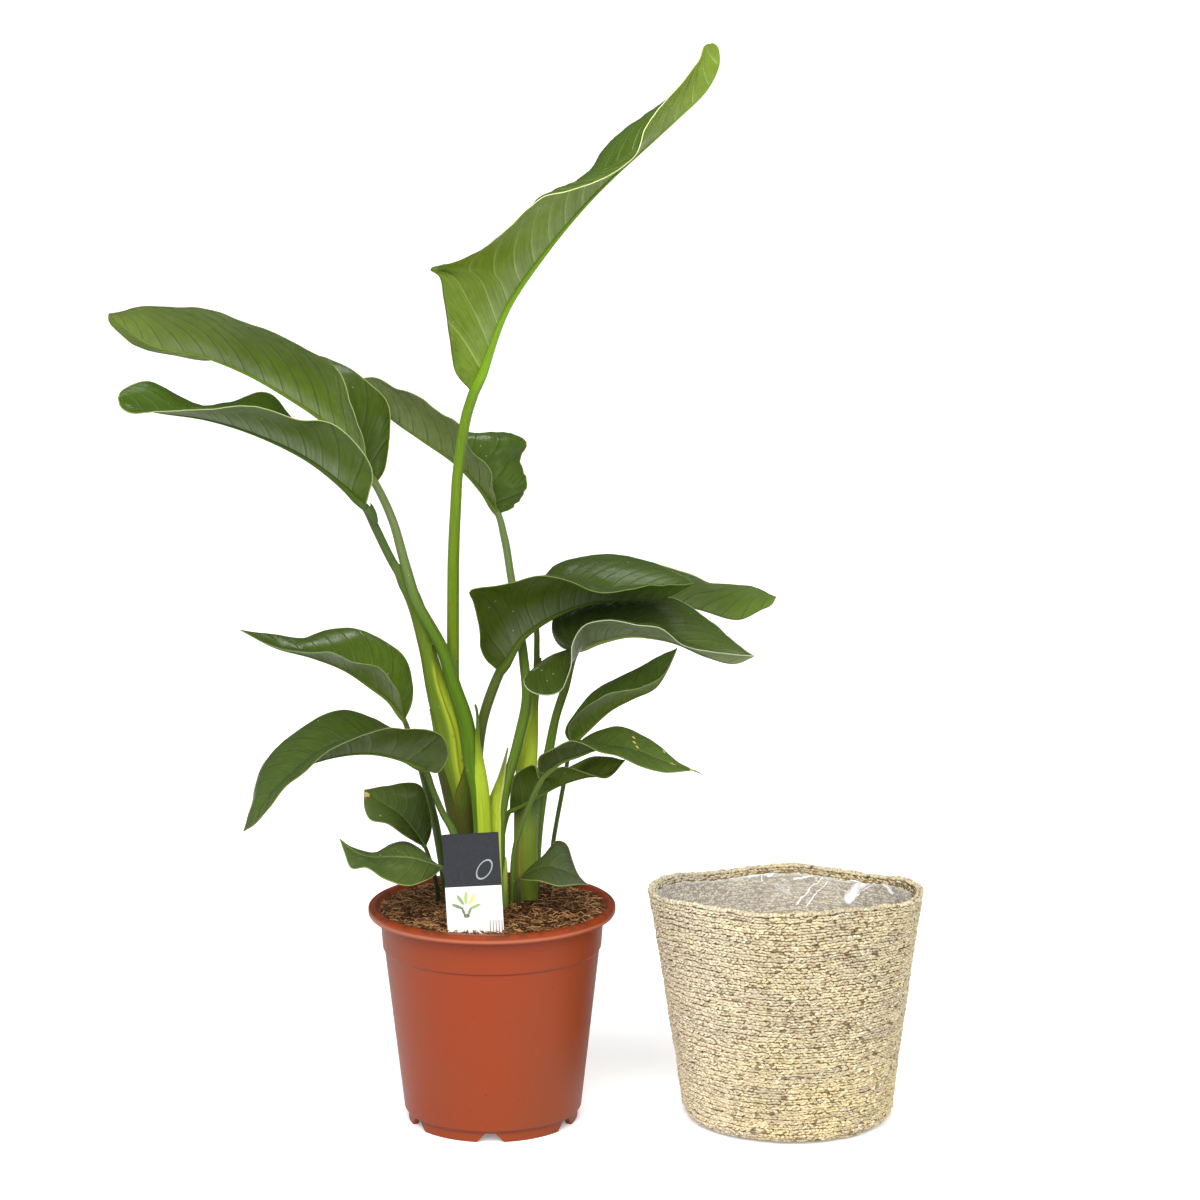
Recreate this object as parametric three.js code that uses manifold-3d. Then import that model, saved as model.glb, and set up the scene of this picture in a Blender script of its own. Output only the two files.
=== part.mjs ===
// Potted bird of paradise with its seagrass basket. Millimetres, +Z up, -Y towards the viewer.
// Fifteen leaves, each one solid with its stalk, stand in plain holes in the soil of a nursery
// pot. The woven basket with its film liner stands beside the pot, empty.
import * as THREE from 'three';
import { mergeVertices } from 'three/addons/utils/BufferGeometryUtils.js';
import Module from 'manifold-3d';

const wasm = await Module();
wasm.setup();

// ---------------------------------------------------------------- driving dimensions
const GAP = 0.35; // clearance between pieces that touch on the real thing
const MERGE_DISTANCE = 1e-4;

const POT = {
  rimRadius: 95, // a 19 cm nursery pot
  height: 170,
  lipHeight: 7.5,
  lipWidth: 6.5,
  lipRound: 1.5,
  bandTopRadius: 86, // the slightly wider band below the lip
  bandFloorZ: 137,
  bandStep: 1.2,
  bandBevel: 3, // the wall's inside steps out this far below the band
  wallTopRadius: 82.9, // at the foot of the band
  wallFootRadius: 68.5,
  wallFootZ: 10,
  wall: 2,
  floorZ: 8,
  footRadius: 65.5,
  footWidth: 4.5,
  notchWidth: 21,
  notchTopWidth: 8,
  notchHeight: 7,
  notchDepth: 12,
  notches: 6,
  drainRadius: 5,
  drainCircle: 42,
  drains: 6,
  drainSides: 10,
  sides: 48,
};

const SOIL = {
  edgeZ: 161.5, // where it meets the wall
  crownZ: 170, // heaped a little round the stems
  rootZ: 148, // depth that the stalks reach
  shoulder: [62, 0.45], // radius, and share of the rise from the edge to the crown
  mound: [36, 0.85],
  holeTopZ: 180, // every hole for a stalk is cut at least up to here
  sides: 48,
};

const BASKET = {
  x: 229, // middle of the base, beside the pot
  y: 7,
  height: 178, // mean height of the soft rim
  lean: -3, // how far the rim's middle lies from the base's, along x
  slump: 9, // the rim stands higher in front and lower behind by this much
  wall: 6,
  floor: 7,
  outline: [
    [70, 0], [77, 1.5], [82, 7], [86.8, 48], [92.6, 88], [98, 128], [101.8, 152], [106, 178],
  ],
  innerHeights: [16, 48, 88, 128, 152], // where the inside follows the outline
  innerCorner: 4, // bevel between the wall and the floor
  rimRise: 2, // the rim is rounded up to this much above its edges
  rimWave: 1.6,
  rimWaves: 5,
  rimPhase: 0.6,
  sides: 44,
};

const LINER = {
  topZ: 158, // the film ends below the rim
  film: 0.8,
};

const LABEL = {
  x: -9.2, // middle of the panel's foot
  y: -74,
  footZ: 161.2,
  width: 42,
  height: 82,
  thickness: 0.8,
  lean: -3, // degrees, in its own plane
  stakeWidth: 14,
  stakeTipWidth: 4,
  stakeLength: 42,
};

const SHOOT = {
  x: 10, // a young side shoot beside the middle stem
  y: -22,
  tipZ: 212,
  lean: 1.5,
  radius: 3,
  taper: [[0, 1], [0.45, 1], [0.75, 0.7], [0.92, 0.4], [1, 0.12]], // share of height, of radius
  sides: 8,
};

const BLADE = {
  thickness: 1,
  arch: 0.1, // how far each half bulges upwards, as a share of its width
  halfColumns: 2,
  rowsAtLeast: 10,
  rowLength: 26,
  narrowest: 1.5, // half width kept at both ends
  ribTaper: 0.85, // share of the midrib's thickness lost by the tip
};

const STALK = {
  deepest: 9.5, // sheaths are wider than they are deep
  ringLength: 30,
  ringsAtLeast: 3,
  sides: 8,
  thinSides: 6,
  thin: 6, // widest stalk that gets the smaller number of sides
  ribShare: 0.3, // how thick the midrib stands under the blade, as a share of the stalk
  sink: 0.06, // share of the midrib that the stalk runs on under the blade
  endSize: 0.5, // of the last ring, under the blade
};

// Each leaf: its stalk as [x, y, z, width] from the soil to the blade, its midrib from the
// blade's base to the tip, and the two margins. The near margin is the one on the viewer's side.
// A pace above 1 gathers the midrib's rows at the base, where the margin makes a flap.
const LEAVES = {
  leaf_01_tall: {
    stalk: [
      [-25, 8, 172, 9.5], [-26, 8, 217, 9.5], [-28, 8, 265, 9.5], [-29, 8, 312, 9.5],
      [-29, 8, 366, 9.5], [-28, 8, 435, 9.0], [-24, 9, 504, 8.0], [-18, 9, 542, 8.0],
      [-12, 8, 562, 8.0],
    ],
    rib: [
      [-12, 8, 562], [-2, 6, 589], [14, 0, 628], [44, -8, 671], [72, -14, 704], [92, -16, 724],
      [111, -18, 741], [139, -16, 766], [162, -10, 789], [170, -5, 807], [165, 0, 821],
    ],
    near: [
      [-25, -6, 580], [-28, -16, 608], [-32, -26, 635], [-41, -36, 657], [-20, -44, 665],
      [1, -54, 675], [20, -62, 694], [41, -66, 711], [65, -64, 718], [93, -56, 728],
      [110, -48, 743], [116, -42, 759], [130, -32, 779], [144, -22, 796], [157, -6, 816],
    ],
    far: [
      [-15, 20, 578], [-12, 36, 607], [-2, 46, 640], [19, 48, 677], [53, 44, 711], [75, 40, 723],
      [87, 36, 744], [113, 32, 765], [137, 24, 784], [155, 10, 807],
    ],
  },
  leaf_02_upper_left: {
    stalk: [
      [-7, -20, 180, 11.0], [-7, -20, 232, 12.0], [-9, -20, 263, 12.5], [-13, -19, 284, 13.5],
      [-19, -18, 317, 12.5], [-27, -17, 342, 11.0], [-36, -16, 371, 9.5], [-55, -14, 408, 8.0],
      [-63, -9, 434, 7.5], [-73, -3, 468, 6.5], [-86, 4, 494, 6.0],
    ],
    rib: [
      [-86, 4, 494], [-104, 8, 521], [-126, 12, 542], [-152, 15, 559], [-183, 18, 576],
      [-218, 22, 589], [-256, 26, 597], [-288, 30, 620],
    ],
    near: [
      [-90, -8, 506], [-95, -20, 536], [-101, -26, 559], [-110, -30, 582], [-129, -30, 597],
      [-155, -28, 609], [-186, -24, 621], [-210, -16, 627], [-253, 4, 627],
    ],
    far: [
      [-80, 14, 503], [-76, 26, 530], [-79, 34, 552], [-93, 40, 567], [-114, 48, 580],
      [-146, 58, 588], [-193, 64, 588], [-219, 56, 582], [-248, 46, 588], [-272, 38, 597],
    ],
  },
  leaf_03_lower_left: {
    stalk: [
      [-22, -4, 175, 15.0], [-22, -4, 230, 15.5], [-26, -4, 260, 18.5], [-30, -4, 283, 20.0],
      [-32, -4, 306, 19.0], [-40, -4, 337, 13.5], [-47, -4, 368, 9.0], [-58, -3, 407, 8.0],
      [-74, -7, 438, 6.5], [-85, -15, 463, 6.5], [-92, -22, 480, 6.0],
    ],
    rib: [
      [-92, -22, 480], [-105, -25, 494], [-133, -30, 517], [-170, -36, 536], [-206, -42, 548],
      [-242, -48, 554], [-261, -52, 557], [-270, -54, 567],
    ],
    near: [
      [-88, -32, 493], [-86, -42, 509], [-96, -54, 532], [-114, -62, 547], [-138, -70, 553],
      [-166, -76, 560], [-198, -78, 561], [-229, -74, 558], [-258, -64, 559],
    ],
    far: [
      [-96, -16, 492], [-112, -8, 512], [-136, -2, 534], [-150, 2, 548], [-167, 4, 562],
      [-195, 4, 557], [-218, 0, 552], [-234, -8, 563], [-244, -16, 570], [-265, -34, 571],
    ],
  },
  leaf_04_middle_back: {
    stalk: [
      [6, -9, 177, 10.5], [5, -9, 214, 11.0], [6, -9, 244, 12.5], [13, -8, 270, 8.0],
      [21, -4, 299, 8.0], [27, 4, 328, 8.0], [25, 14, 357, 7.5], [21, 26, 382, 6.5],
      [15, 34, 416, 6.0], [10, 40, 446, 6.0], [5, 44, 465, 5.0],
    ],
    rib: [
      [5, 44, 465], [-7, 46, 483], [-27, 48, 504], [-55, 50, 523], [-78, 52, 539], [-108, 56, 569],
    ],
    near: [
      [2, 32, 479], [1, 24, 500], [-14, 22, 517], [-21, 22, 533], [-33, 24, 543], [-62, 28, 561],
      [-90, 42, 570],
    ],
    far: [
      [17, 54, 469], [27, 64, 483], [23, 76, 505], [26, 82, 515], [8, 86, 525], [-16, 88, 522],
      [-44, 88, 530], [-72, 80, 548], [-94, 68, 563],
    ],
  },
  leaf_05_right_arching: {
    stalk: [
      [-9, 13, 171, 9.0], [-10, 13, 224, 9.0], [-11, 12, 256, 9.0], [-11, 10, 284, 9.0],
      [-7, 6, 309, 8.0], [0, 1, 333, 8.0], [7, -3, 351, 7.5],
    ],
    rib: [
      [7, -3, 351], [15, -8, 365], [25, -10, 380], [50, -12, 397], [75, -14, 406], [106, -16, 409],
      [131, -18, 411], [153, -20, 422],
    ],
    near: [
      [-3, -12, 362], [-7, -22, 374], [-8, -30, 388], [-11, -40, 411], [-13, -48, 420], [8, -58, 426],
      [37, -66, 435], [62, -70, 431], [79, -70, 425], [104, -66, 426], [133, -46, 425],
    ],
    far: [
      [16, 4, 379], [27, 18, 403], [46, 32, 425], [66, 40, 432], [92, 42, 435], [121, 36, 429],
      [144, 10, 424],
    ],
  },
  leaf_06_back_right: {
    stalk: [
      [24, 4, 173, 11.0], [24, 4, 218, 11.0], [25, 6, 249, 12.5], [27, 10, 277, 13.5],
      [29, 20, 298, 10.5], [31, 30, 320, 6.5], [34, 42, 343, 5.0], [34, 54, 365, 4.5],
      [35, 66, 392, 4.5],
    ],
    rib: [
      [35, 66, 392], [52, 72, 398], [91, 82, 398], [130, 90, 392], [163, 94, 382], [192, 96, 374],
      [210, 96, 382], [222, 96, 392],
    ],
    near: [
      [43, 58, 409], [75, 52, 421], [114, 54, 426], [132, 56, 423], [156, 58, 416], [167, 62, 409],
      [198, 72, 405],
    ],
    far: [
      [40, 84, 398], [75, 108, 410], [123, 124, 407], [163, 126, 392], [198, 112, 390],
    ],
  },
  leaf_07_right_dark: {
    pace: 2.6,
    stalk: [
      [32, 14, 171, 8.0], [34, 14.5, 216, 9.0], [38, 16, 251, 9.0], [44, 15, 287, 7.5],
      [49, 12, 312, 6.5], [56, 5, 336, 6.5], [66, -6, 369, 5.0],
    ],
    rib: [
      [66, -6, 369], [80, -9, 375], [104, -12, 381], [122, -14, 380], [140, -16, 376],
      [163, -18, 366], [184, -20, 361], [199, -22, 367],
    ],
    near: [
      [44, -26, 362], [26, -38, 353], [30, -46, 345], [43, -50, 342], [55, -52, 346],
      [61, -52, 364], [62, -54, 382], [71, -58, 397], [89, -62, 401], [110, -62, 397],
      [127, -58, 395], [144, -50, 381], [169, -40, 373],
    ],
    far: [
      [55, 6, 368], [47, 18, 378], [49, 28, 390], [75, 38, 400], [114, 40, 402], [144, 36, 400],
      [167, 24, 385], [187, 4, 372],
    ],
  },
  leaf_08_small_upper_right: {
    stalk: [
      [43, 30, 166, 3.5], [47, 30, 212, 3.5], [55, 24, 257, 3.5], [61, 20, 290, 3.0],
    ],
    rib: [
      [61, 20, 290], [73, 20, 301], [91, 20, 317], [108, 20, 326], [125, 20, 334], [134, 20, 347],
      [142, 20, 365],
    ],
    near: [
      [59, 8, 305], [66, -2, 318], [80, -8, 330], [92, -10, 337], [113, -4, 339], [130, 8, 346],
    ],
    far: [
      [57, 30, 297], [64, 38, 311], [77, 44, 325], [92, 46, 334], [118, 42, 349], [132, 32, 358],
    ],
  },
  leaf_09_lower_right_spotted: {
    stalk: [
      [16, -16, 179, 4.5], [18, -20, 214, 4.5], [23, -26, 235, 4.5], [29, -33, 253, 4.0],
      [36, -40, 270, 4.0], [43, -44, 282, 3.5],
    ],
    rib: [
      [43, -44, 282], [53, -43, 290], [67, -42, 295], [82, -41, 300], [108, -40, 299],
      [128, -38, 291], [154, -36, 282],
    ],
    near: [
      [37, -50, 284], [38, -60, 298], [48, -66, 305], [62, -68, 312], [73, -68, 309],
      [82, -68, 304], [95, -68, 301], [111, -64, 292], [131, -54, 285],
    ],
    far: [
      [45, -34, 284], [57, -24, 292], [74, -16, 304], [88, -12, 309], [101, -14, 311],
      [121, -22, 303], [140, -32, 289],
    ],
  },
  leaf_10_lower_right_under: {
    stalk: [
      [5, 5, 173, 4.5], [6, 5, 202, 4.5], [9, 1, 226, 4.0], [14, -5, 243, 3.5],
    ],
    rib: [
      [14, -5, 243], [30, -12, 253], [51, -17, 266], [73, -18, 273], [89, -16, 274],
      [102, -14, 285],
    ],
    near: [
      [15, -14, 260], [19, -20, 275], [34, -28, 285], [38, -28, 274], [45, -30, 279],
      [54, -32, 284], [73, -32, 279], [88, -26, 274],
    ],
    far: [
      [24, -4, 255], [41, -4, 267], [62, 2, 278], [76, 4, 284], [92, -4, 285],
    ],
  },
  leaf_11_upper_small_left: {
    stalk: [
      [-36, 22, 169, 6.5], [-43, 22, 220, 6.5], [-49, 18, 251, 6.0], [-55, 12, 276, 5.0],
      [-61, 6, 295, 4.5], [-66, 0, 313, 4.0],
    ],
    rib: [
      [-66, 0, 313], [-77, -3, 329], [-89, -6, 339], [-110, -9, 354], [-134, -12, 364],
      [-162, -14, 372], [-188, -16, 386],
    ],
    near: [
      [-68, -12, 327], [-70, -20, 341], [-83, -30, 360], [-101, -38, 365], [-117, -42, 374],
      [-133, -40, 373], [-160, -30, 375],
    ],
    far: [
      [-60, 8, 326], [-61, 14, 342], [-66, 18, 358], [-79, 22, 369], [-103, 24, 379],
      [-126, 20, 379], [-145, 12, 375], [-173, -4, 381],
    ],
  },
  leaf_12_lower_small_left: {
    stalk: [
      [-18, -34, 184, 6.0], [-28, -33, 234, 6.0], [-36, -32, 249, 5.0], [-43, -32, 266, 5.0],
      [-49, -33, 282, 5.0],
    ],
    rib: [
      [-49, -33, 282], [-64, -36, 290], [-89, -39, 296], [-116, -42, 294], [-138, -45, 287],
      [-158, -48, 272], [-173, -50, 254], [-184, -52, 239],
    ],
    near: [
      [-39, -40, 281], [-30, -50, 297], [-34, -58, 313], [-42, -62, 318], [-61, -66, 320],
      [-75, -68, 322], [-97, -72, 316], [-118, -74, 305], [-135, -74, 290], [-150, -72, 279],
      [-162, -68, 262], [-175, -60, 246],
    ],
    far: [
      [-50, -24, 291], [-62, -16, 301], [-76, -12, 310], [-89, -8, 317], [-113, -6, 322],
      [-132, -8, 316], [-157, -14, 300], [-174, -22, 279], [-180, -38, 254],
    ],
  },
  leaf_13_lower_left_dark: {
    stalk: [
      [-41, -11, 177, 3.5], [-44, -11, 197, 3.5], [-47, -12, 207, 3.5], [-50, -14, 217, 3.0],
    ],
    rib: [
      [-50, -14, 217], [-59, -18, 232], [-69, -22, 245], [-81, -25, 254], [-95, -27, 265],
    ],
    near: [
      [-56, -24, 223], [-69, -36, 235], [-78, -40, 242], [-90, -40, 245], [-95, -34, 254],
    ],
    far: [
      [-46, -9, 228], [-48, -6, 248], [-54, -6, 264], [-65, -10, 267], [-77, -16, 266],
    ],
  },
  leaf_14_over_rim: {
    stalk: [
      [-31, -24, 181, 3.5], [-33, -25, 194, 3.5], [-37, -27, 205, 3.0],
    ],
    rib: [
      [-37, -27, 205], [-47, -33, 210], [-60, -38, 215], [-75, -43, 217], [-90, -48, 218],
      [-102, -52, 224], [-112, -55, 234],
    ],
    near: [
      [-40, -38, 203], [-49, -54, 201], [-62, -64, 200], [-77, -68, 206], [-92, -66, 215],
      [-103, -62, 213], [-108, -58, 223],
    ],
    far: [
      [-45, -22, 209], [-53, -14, 215], [-65, -12, 222], [-76, -18, 221], [-87, -34, 218],
      [-102, -48, 226],
    ],
  },
  leaf_15_over_soil: {
    stalk: [
      [21, -25, 180, 3.5], [21, -23, 187, 3.5], [21, -21, 194, 3.0],
    ],
    rib: [
      [21, -21, 194], [33, -25, 203], [46, -29, 206], [61, -32, 201], [74, -34, 193],
    ],
    near: [
      [28, -32, 196], [39, -44, 198], [51, -50, 196], [66, -44, 196],
    ],
    far: [
      [30, -12, 200], [42, -6, 211], [49, -4, 220], [57, -8, 219], [62, -16, 206], [67, -26, 197],
    ],
  },
};

// Finishes: a leaf that isn't listed by name is mature.
const FINISH = {
  terracotta: { color: 0xb4553a, roughness: 0.5 },
  soil: { color: 0x4a3020, roughness: 0.95 },
  young: { color: 0x7fa53a, roughness: 0.45 },
  fresh: { color: 0x4f7a2e, roughness: 0.45 },
  mature: { color: 0x355f2a, roughness: 0.45 },
  dark: { color: 0x2a4a22, roughness: 0.45 },
  shoot: { color: 0xa9b86a, roughness: 0.6 },
  label: { color: 0xe9e9ea, roughness: 0.35 },
  seagrass: { color: 0xc9b384, roughness: 0.9 },
  film: { color: 0xdfe3e4, roughness: 0.2, transparent: true, opacity: 0.4 },
};

const LEAF_FINISH = {
  leaf_01_tall: FINISH.young,
  leaf_02_upper_left: FINISH.fresh,
  leaf_03_lower_left: FINISH.fresh,
  leaf_04_middle_back: FINISH.fresh,
  leaf_06_back_right: FINISH.fresh,
  leaf_13_lower_left_dark: FINISH.dark,
};

// ---------------------------------------------------------------- solids and meshes
function solidOf(geometry) {
  geometry.deleteAttribute('normal');
  geometry.deleteAttribute('uv');
  const merged = mergeVertices(geometry, MERGE_DISTANCE);
  return new wasm.Manifold(new wasm.Mesh({
    numProp: 3,
    vertProperties: new Float32Array(merged.attributes.position.array),
    triVerts: new Uint32Array(merged.index.array),
  }));
}

function geometryOf(solid) {
  const mesh = solid.getMesh();
  const geometry = new THREE.BufferGeometry();
  geometry.setAttribute('position', new THREE.BufferAttribute(mesh.vertProperties, 3));
  geometry.setIndex(new THREE.BufferAttribute(mesh.triVerts, 1));
  geometry.computeVertexNormals();
  return geometry;
}

function named(name, solid, finish) {
  const mesh = new THREE.Mesh(geometryOf(solid), new THREE.MeshStandardMaterial(finish));
  mesh.name = name;
  return mesh;
}

// A turned solid about +Z from its [radius, z] outline, which starts and ends on the axis.
function turned(outline, sides) {
  const points = outline.map(([radius, z]) => new THREE.Vector2(radius, z));
  const geometry = new THREE.LatheGeometry(points, sides);
  geometry.rotateX(Math.PI / 2);
  return solidOf(geometry);
}

// A closed solid from rings of points: the sides are quads, the two ends are fans.
function lofted(rings) {
  const count = rings[0].length;
  const positions = rings.flat().flatMap((p) => [p.x, p.y, p.z]);
  const triangles = [];
  for (let r = 0; r + 1 < rings.length; r += 1) {
    for (let k = 0; k < count; k += 1) {
      const a = r * count + k;
      const b = r * count + ((k + 1) % count);
      triangles.push(a, b, b + count, a, b + count, a + count);
    }
  }
  const last = (rings.length - 1) * count;
  for (let k = 1; k + 1 < count; k += 1) {
    triangles.push(0, k + 1, k);
    triangles.push(last, last + k, last + k + 1);
  }
  const geometry = new THREE.BufferGeometry();
  geometry.setAttribute('position', new THREE.Float32BufferAttribute(positions, 3));
  geometry.setIndex(triangles);
  return solidOf(geometry);
}

const curveOf = (points) => new THREE.CatmullRomCurve3(
  points.map(([x, y, z]) => new THREE.Vector3(x, y, z)),
  false,
  'centripetal',
);

// ---------------------------------------------------------------- stalks
// The whole stalk: down to its root, and a little way on along the midrib.
function stalkCentres(leaf) {
  const [x, y] = leaf.stalk[0];
  const onRib = curveOf(leaf.rib).getPointAt(STALK.sink);
  const points = [[x, y, SOIL.rootZ], ...leaf.stalk, onRib.toArray()];
  return curveOf(points);
}

function stalkWidth(leaf, height) {
  const { stalk } = leaf;
  if (height <= stalk[0][2]) return stalk[0][3];
  for (let i = 1; i < stalk.length; i += 1) {
    if (height <= stalk[i][2]) {
      const share = (height - stalk[i - 1][2]) / (stalk[i][2] - stalk[i - 1][2]);
      return THREE.MathUtils.lerp(stalk[i - 1][3], stalk[i][3], share);
    }
  }
  return stalk[stalk.length - 1][3];
}

function stalkRing(leaf, curve, share, sides, spare) {
  const centre = curve.getPointAt(share);
  const along = curve.getTangentAt(share);
  const across = new THREE.Vector3().crossVectors(new THREE.Vector3(0, 1, 0), along).normalize();
  const deep = new THREE.Vector3().crossVectors(along, across);
  const width = stalkWidth(leaf, centre.z);
  const size = share < 1 ? 1 : STALK.endSize;
  const halfWidth = (width / 2) * size + spare;
  const halfDepth = (Math.min(width, STALK.deepest) / 2) * size + spare;
  return Array.from({ length: sides }, (_, k) => {
    const angle = (2 * Math.PI * (k + 0.5)) / sides;
    return centre.clone()
      .addScaledVector(across, halfWidth * Math.cos(angle))
      .addScaledVector(deep, halfDepth * Math.sin(angle));
  });
}

function stalkRings(leaf, spare) {
  const curve = stalkCentres(leaf);
  const steps = Math.round(curve.getLength() / STALK.ringLength) + STALK.ringsAtLeast;
  const widest = Math.max(...leaf.stalk.map((point) => point[3]));
  const sides = widest > STALK.thin ? STALK.sides : STALK.thinSides;
  return Array.from({ length: steps + 1 }, (_, i) => (
    stalkRing(leaf, curve, i / steps, sides, spare)
  ));
}

// The plain hole in the soil round a stalk's foot.
function stalkHole(leaf) {
  const rings = stalkRings(leaf, GAP);
  const clear = rings.findIndex((ring) => ring[0].z > SOIL.holeTopZ);
  const floor = rings[0].map((point) => point.clone().setZ(point.z - GAP));
  return lofted([floor, ...rings.slice(1, clear + 1)]);
}

// ---------------------------------------------------------------- blades
// One half of the blade between the midrib and a margin, arched upwards.
function halfRow(rib, margin, along, side, columns) {
  const outward = margin.clone().sub(rib);
  const up = new THREE.Vector3().crossVectors(outward, along).multiplyScalar(side).normalize();
  const bulge = up.multiplyScalar(2 * BLADE.arch * outward.length());
  return Array.from({ length: columns }, (_, k) => {
    const share = (k + 1) / columns;
    return rib.clone()
      .addScaledVector(outward, share)
      .addScaledVector(bulge, 2 * share * (1 - share));
  });
}

// The blade's middle sheet as rows from base to tip, each from the left margin to the right one.
function bladeRows(leaf) {
  const tip = leaf.rib[leaf.rib.length - 1];
  const base = leaf.rib[0];
  const ribCurve = curveOf(leaf.rib);
  const rows = Math.round(BLADE.rowsAtLeast + ribCurve.getLength() / BLADE.rowLength);
  const nearIsLeft = tip[0] < base[0];
  const [left, right] = nearIsLeft ? [leaf.near, leaf.far] : [leaf.far, leaf.near];
  const shares = Array.from({ length: rows + 1 }, (_, i) => (i / rows) ** (leaf.pace ?? 1));
  const ribPoints = shares.map((share) => ribCurve.getPointAt(share));
  const margins = [left, right].map((points) => (
    curveOf([base, ...points, tip]).getSpacedPoints(rows)
  ));
  return ribPoints.map((rib, i) => {
    const along = ribCurve.getTangentAt(shares[i]);
    const [leftHalf, rightHalf] = margins.map((margin, which) => {
      const side = which === 0 ? -1 : 1;
      const inner = THREE.MathUtils.clamp(i, 1, rows - 1);
      const direction = margin[inner].clone().sub(ribPoints[inner]).normalize();
      const width = Math.max(margin[i].distanceTo(rib), BLADE.narrowest);
      const edge = i === inner ? margin[i] : rib.clone().addScaledVector(direction, width);
      return halfRow(rib, edge, along, side, BLADE.halfColumns);
    });
    return [...leftHalf.reverse(), rib, ...rightHalf];
  });
}

function sheetNormal(rows, i, j) {
  const clampRow = (k) => THREE.MathUtils.clamp(k, 0, rows.length - 1);
  const clampColumn = (k) => THREE.MathUtils.clamp(k, 0, rows[0].length - 1);
  const across = rows[i][clampColumn(j + 1)].clone().sub(rows[i][clampColumn(j - 1)]);
  const along = rows[clampRow(i + 1)][j].clone().sub(rows[clampRow(i - 1)][j]);
  return across.cross(along).normalize();
}

// The blade as one closed sheet, thicker along the midrib's underside.
function bladeSolid(leaf) {
  const rows = bladeRows(leaf);
  const columns = rows[0].length;
  const middle = (columns - 1) / 2;
  const ribDepth = leaf.stalk[leaf.stalk.length - 1][3] * STALK.ribShare;
  const positions = [];
  [1, -1].forEach((face) => {
    rows.forEach((row, i) => row.forEach((point, j) => {
      const taper = 1 - (BLADE.ribTaper * i) / (rows.length - 1);
      const rib = face < 0 && j === middle ? ribDepth * taper : 0;
      const offset = face * (BLADE.thickness / 2 + rib);
      const moved = point.clone().addScaledVector(sheetNormal(rows, i, j), offset);
      positions.push(moved.x, moved.y, moved.z);
    }));
  });
  const under = rows.length * columns;
  const at = (i, j) => i * columns + j;
  const triangles = [];
  for (let i = 0; i + 1 < rows.length; i += 1) {
    for (let j = 0; j + 1 < columns; j += 1) {
      const [a, b, c, d] = [at(i, j), at(i, j + 1), at(i + 1, j + 1), at(i + 1, j)];
      triangles.push(a, b, c, a, c, d);
      triangles.push(under + a, under + c, under + b, under + a, under + d, under + c);
    }
  }
  const edge = [
    ...Array.from({ length: columns - 1 }, (_, j) => at(0, j)),
    ...Array.from({ length: rows.length - 1 }, (_, i) => at(i, columns - 1)),
    ...Array.from({ length: columns - 1 }, (_, j) => at(rows.length - 1, columns - 1 - j)),
    ...Array.from({ length: rows.length - 1 }, (_, i) => at(rows.length - 1 - i, 0)),
  ];
  edge.forEach((a, k) => {
    const b = edge[(k + 1) % edge.length];
    triangles.push(a, under + b, b, a, under + a, under + b);
  });
  const geometry = new THREE.BufferGeometry();
  geometry.setAttribute('position', new THREE.Float32BufferAttribute(positions, 3));
  geometry.setIndex(triangles);
  return solidOf(geometry);
}

function leafMesh(name, leaf) {
  const solid = bladeSolid(leaf).add(lofted(stalkRings(leaf, 0)));
  return named(name, solid, LEAF_FINISH[name] ?? FINISH.mature);
}

// ---------------------------------------------------------------- young shoot
function shootRing(z, radius) {
  const lean = (SHOOT.lean * (z - SOIL.rootZ)) / (SHOOT.tipZ - SOIL.rootZ);
  return Array.from({ length: SHOOT.sides }, (_, k) => {
    const angle = (2 * Math.PI * (k + 0.5)) / SHOOT.sides;
    const x = SHOOT.x + lean + radius * Math.cos(angle);
    return new THREE.Vector3(x, SHOOT.y + radius * Math.sin(angle), z);
  });
}

function shootSolid() {
  return lofted(SHOOT.taper.map(([share, size]) => shootRing(
    THREE.MathUtils.lerp(SOIL.rootZ, SHOOT.tipZ, share),
    SHOOT.radius * size,
  )));
}

// ---------------------------------------------------------------- pot and soil
// Outer radius of the pot's wall at a height below the lip.
function potRadius(z) {
  if (z >= POT.bandFloorZ) {
    const share = (z - POT.bandFloorZ) / (POT.height - POT.lipHeight - POT.bandFloorZ);
    return THREE.MathUtils.lerp(POT.wallTopRadius + POT.bandStep, POT.bandTopRadius, share);
  }
  const share = (z - POT.wallFootZ) / (POT.bandFloorZ - POT.wallFootZ);
  return THREE.MathUtils.lerp(POT.wallFootRadius, POT.wallTopRadius, share);
}

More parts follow.
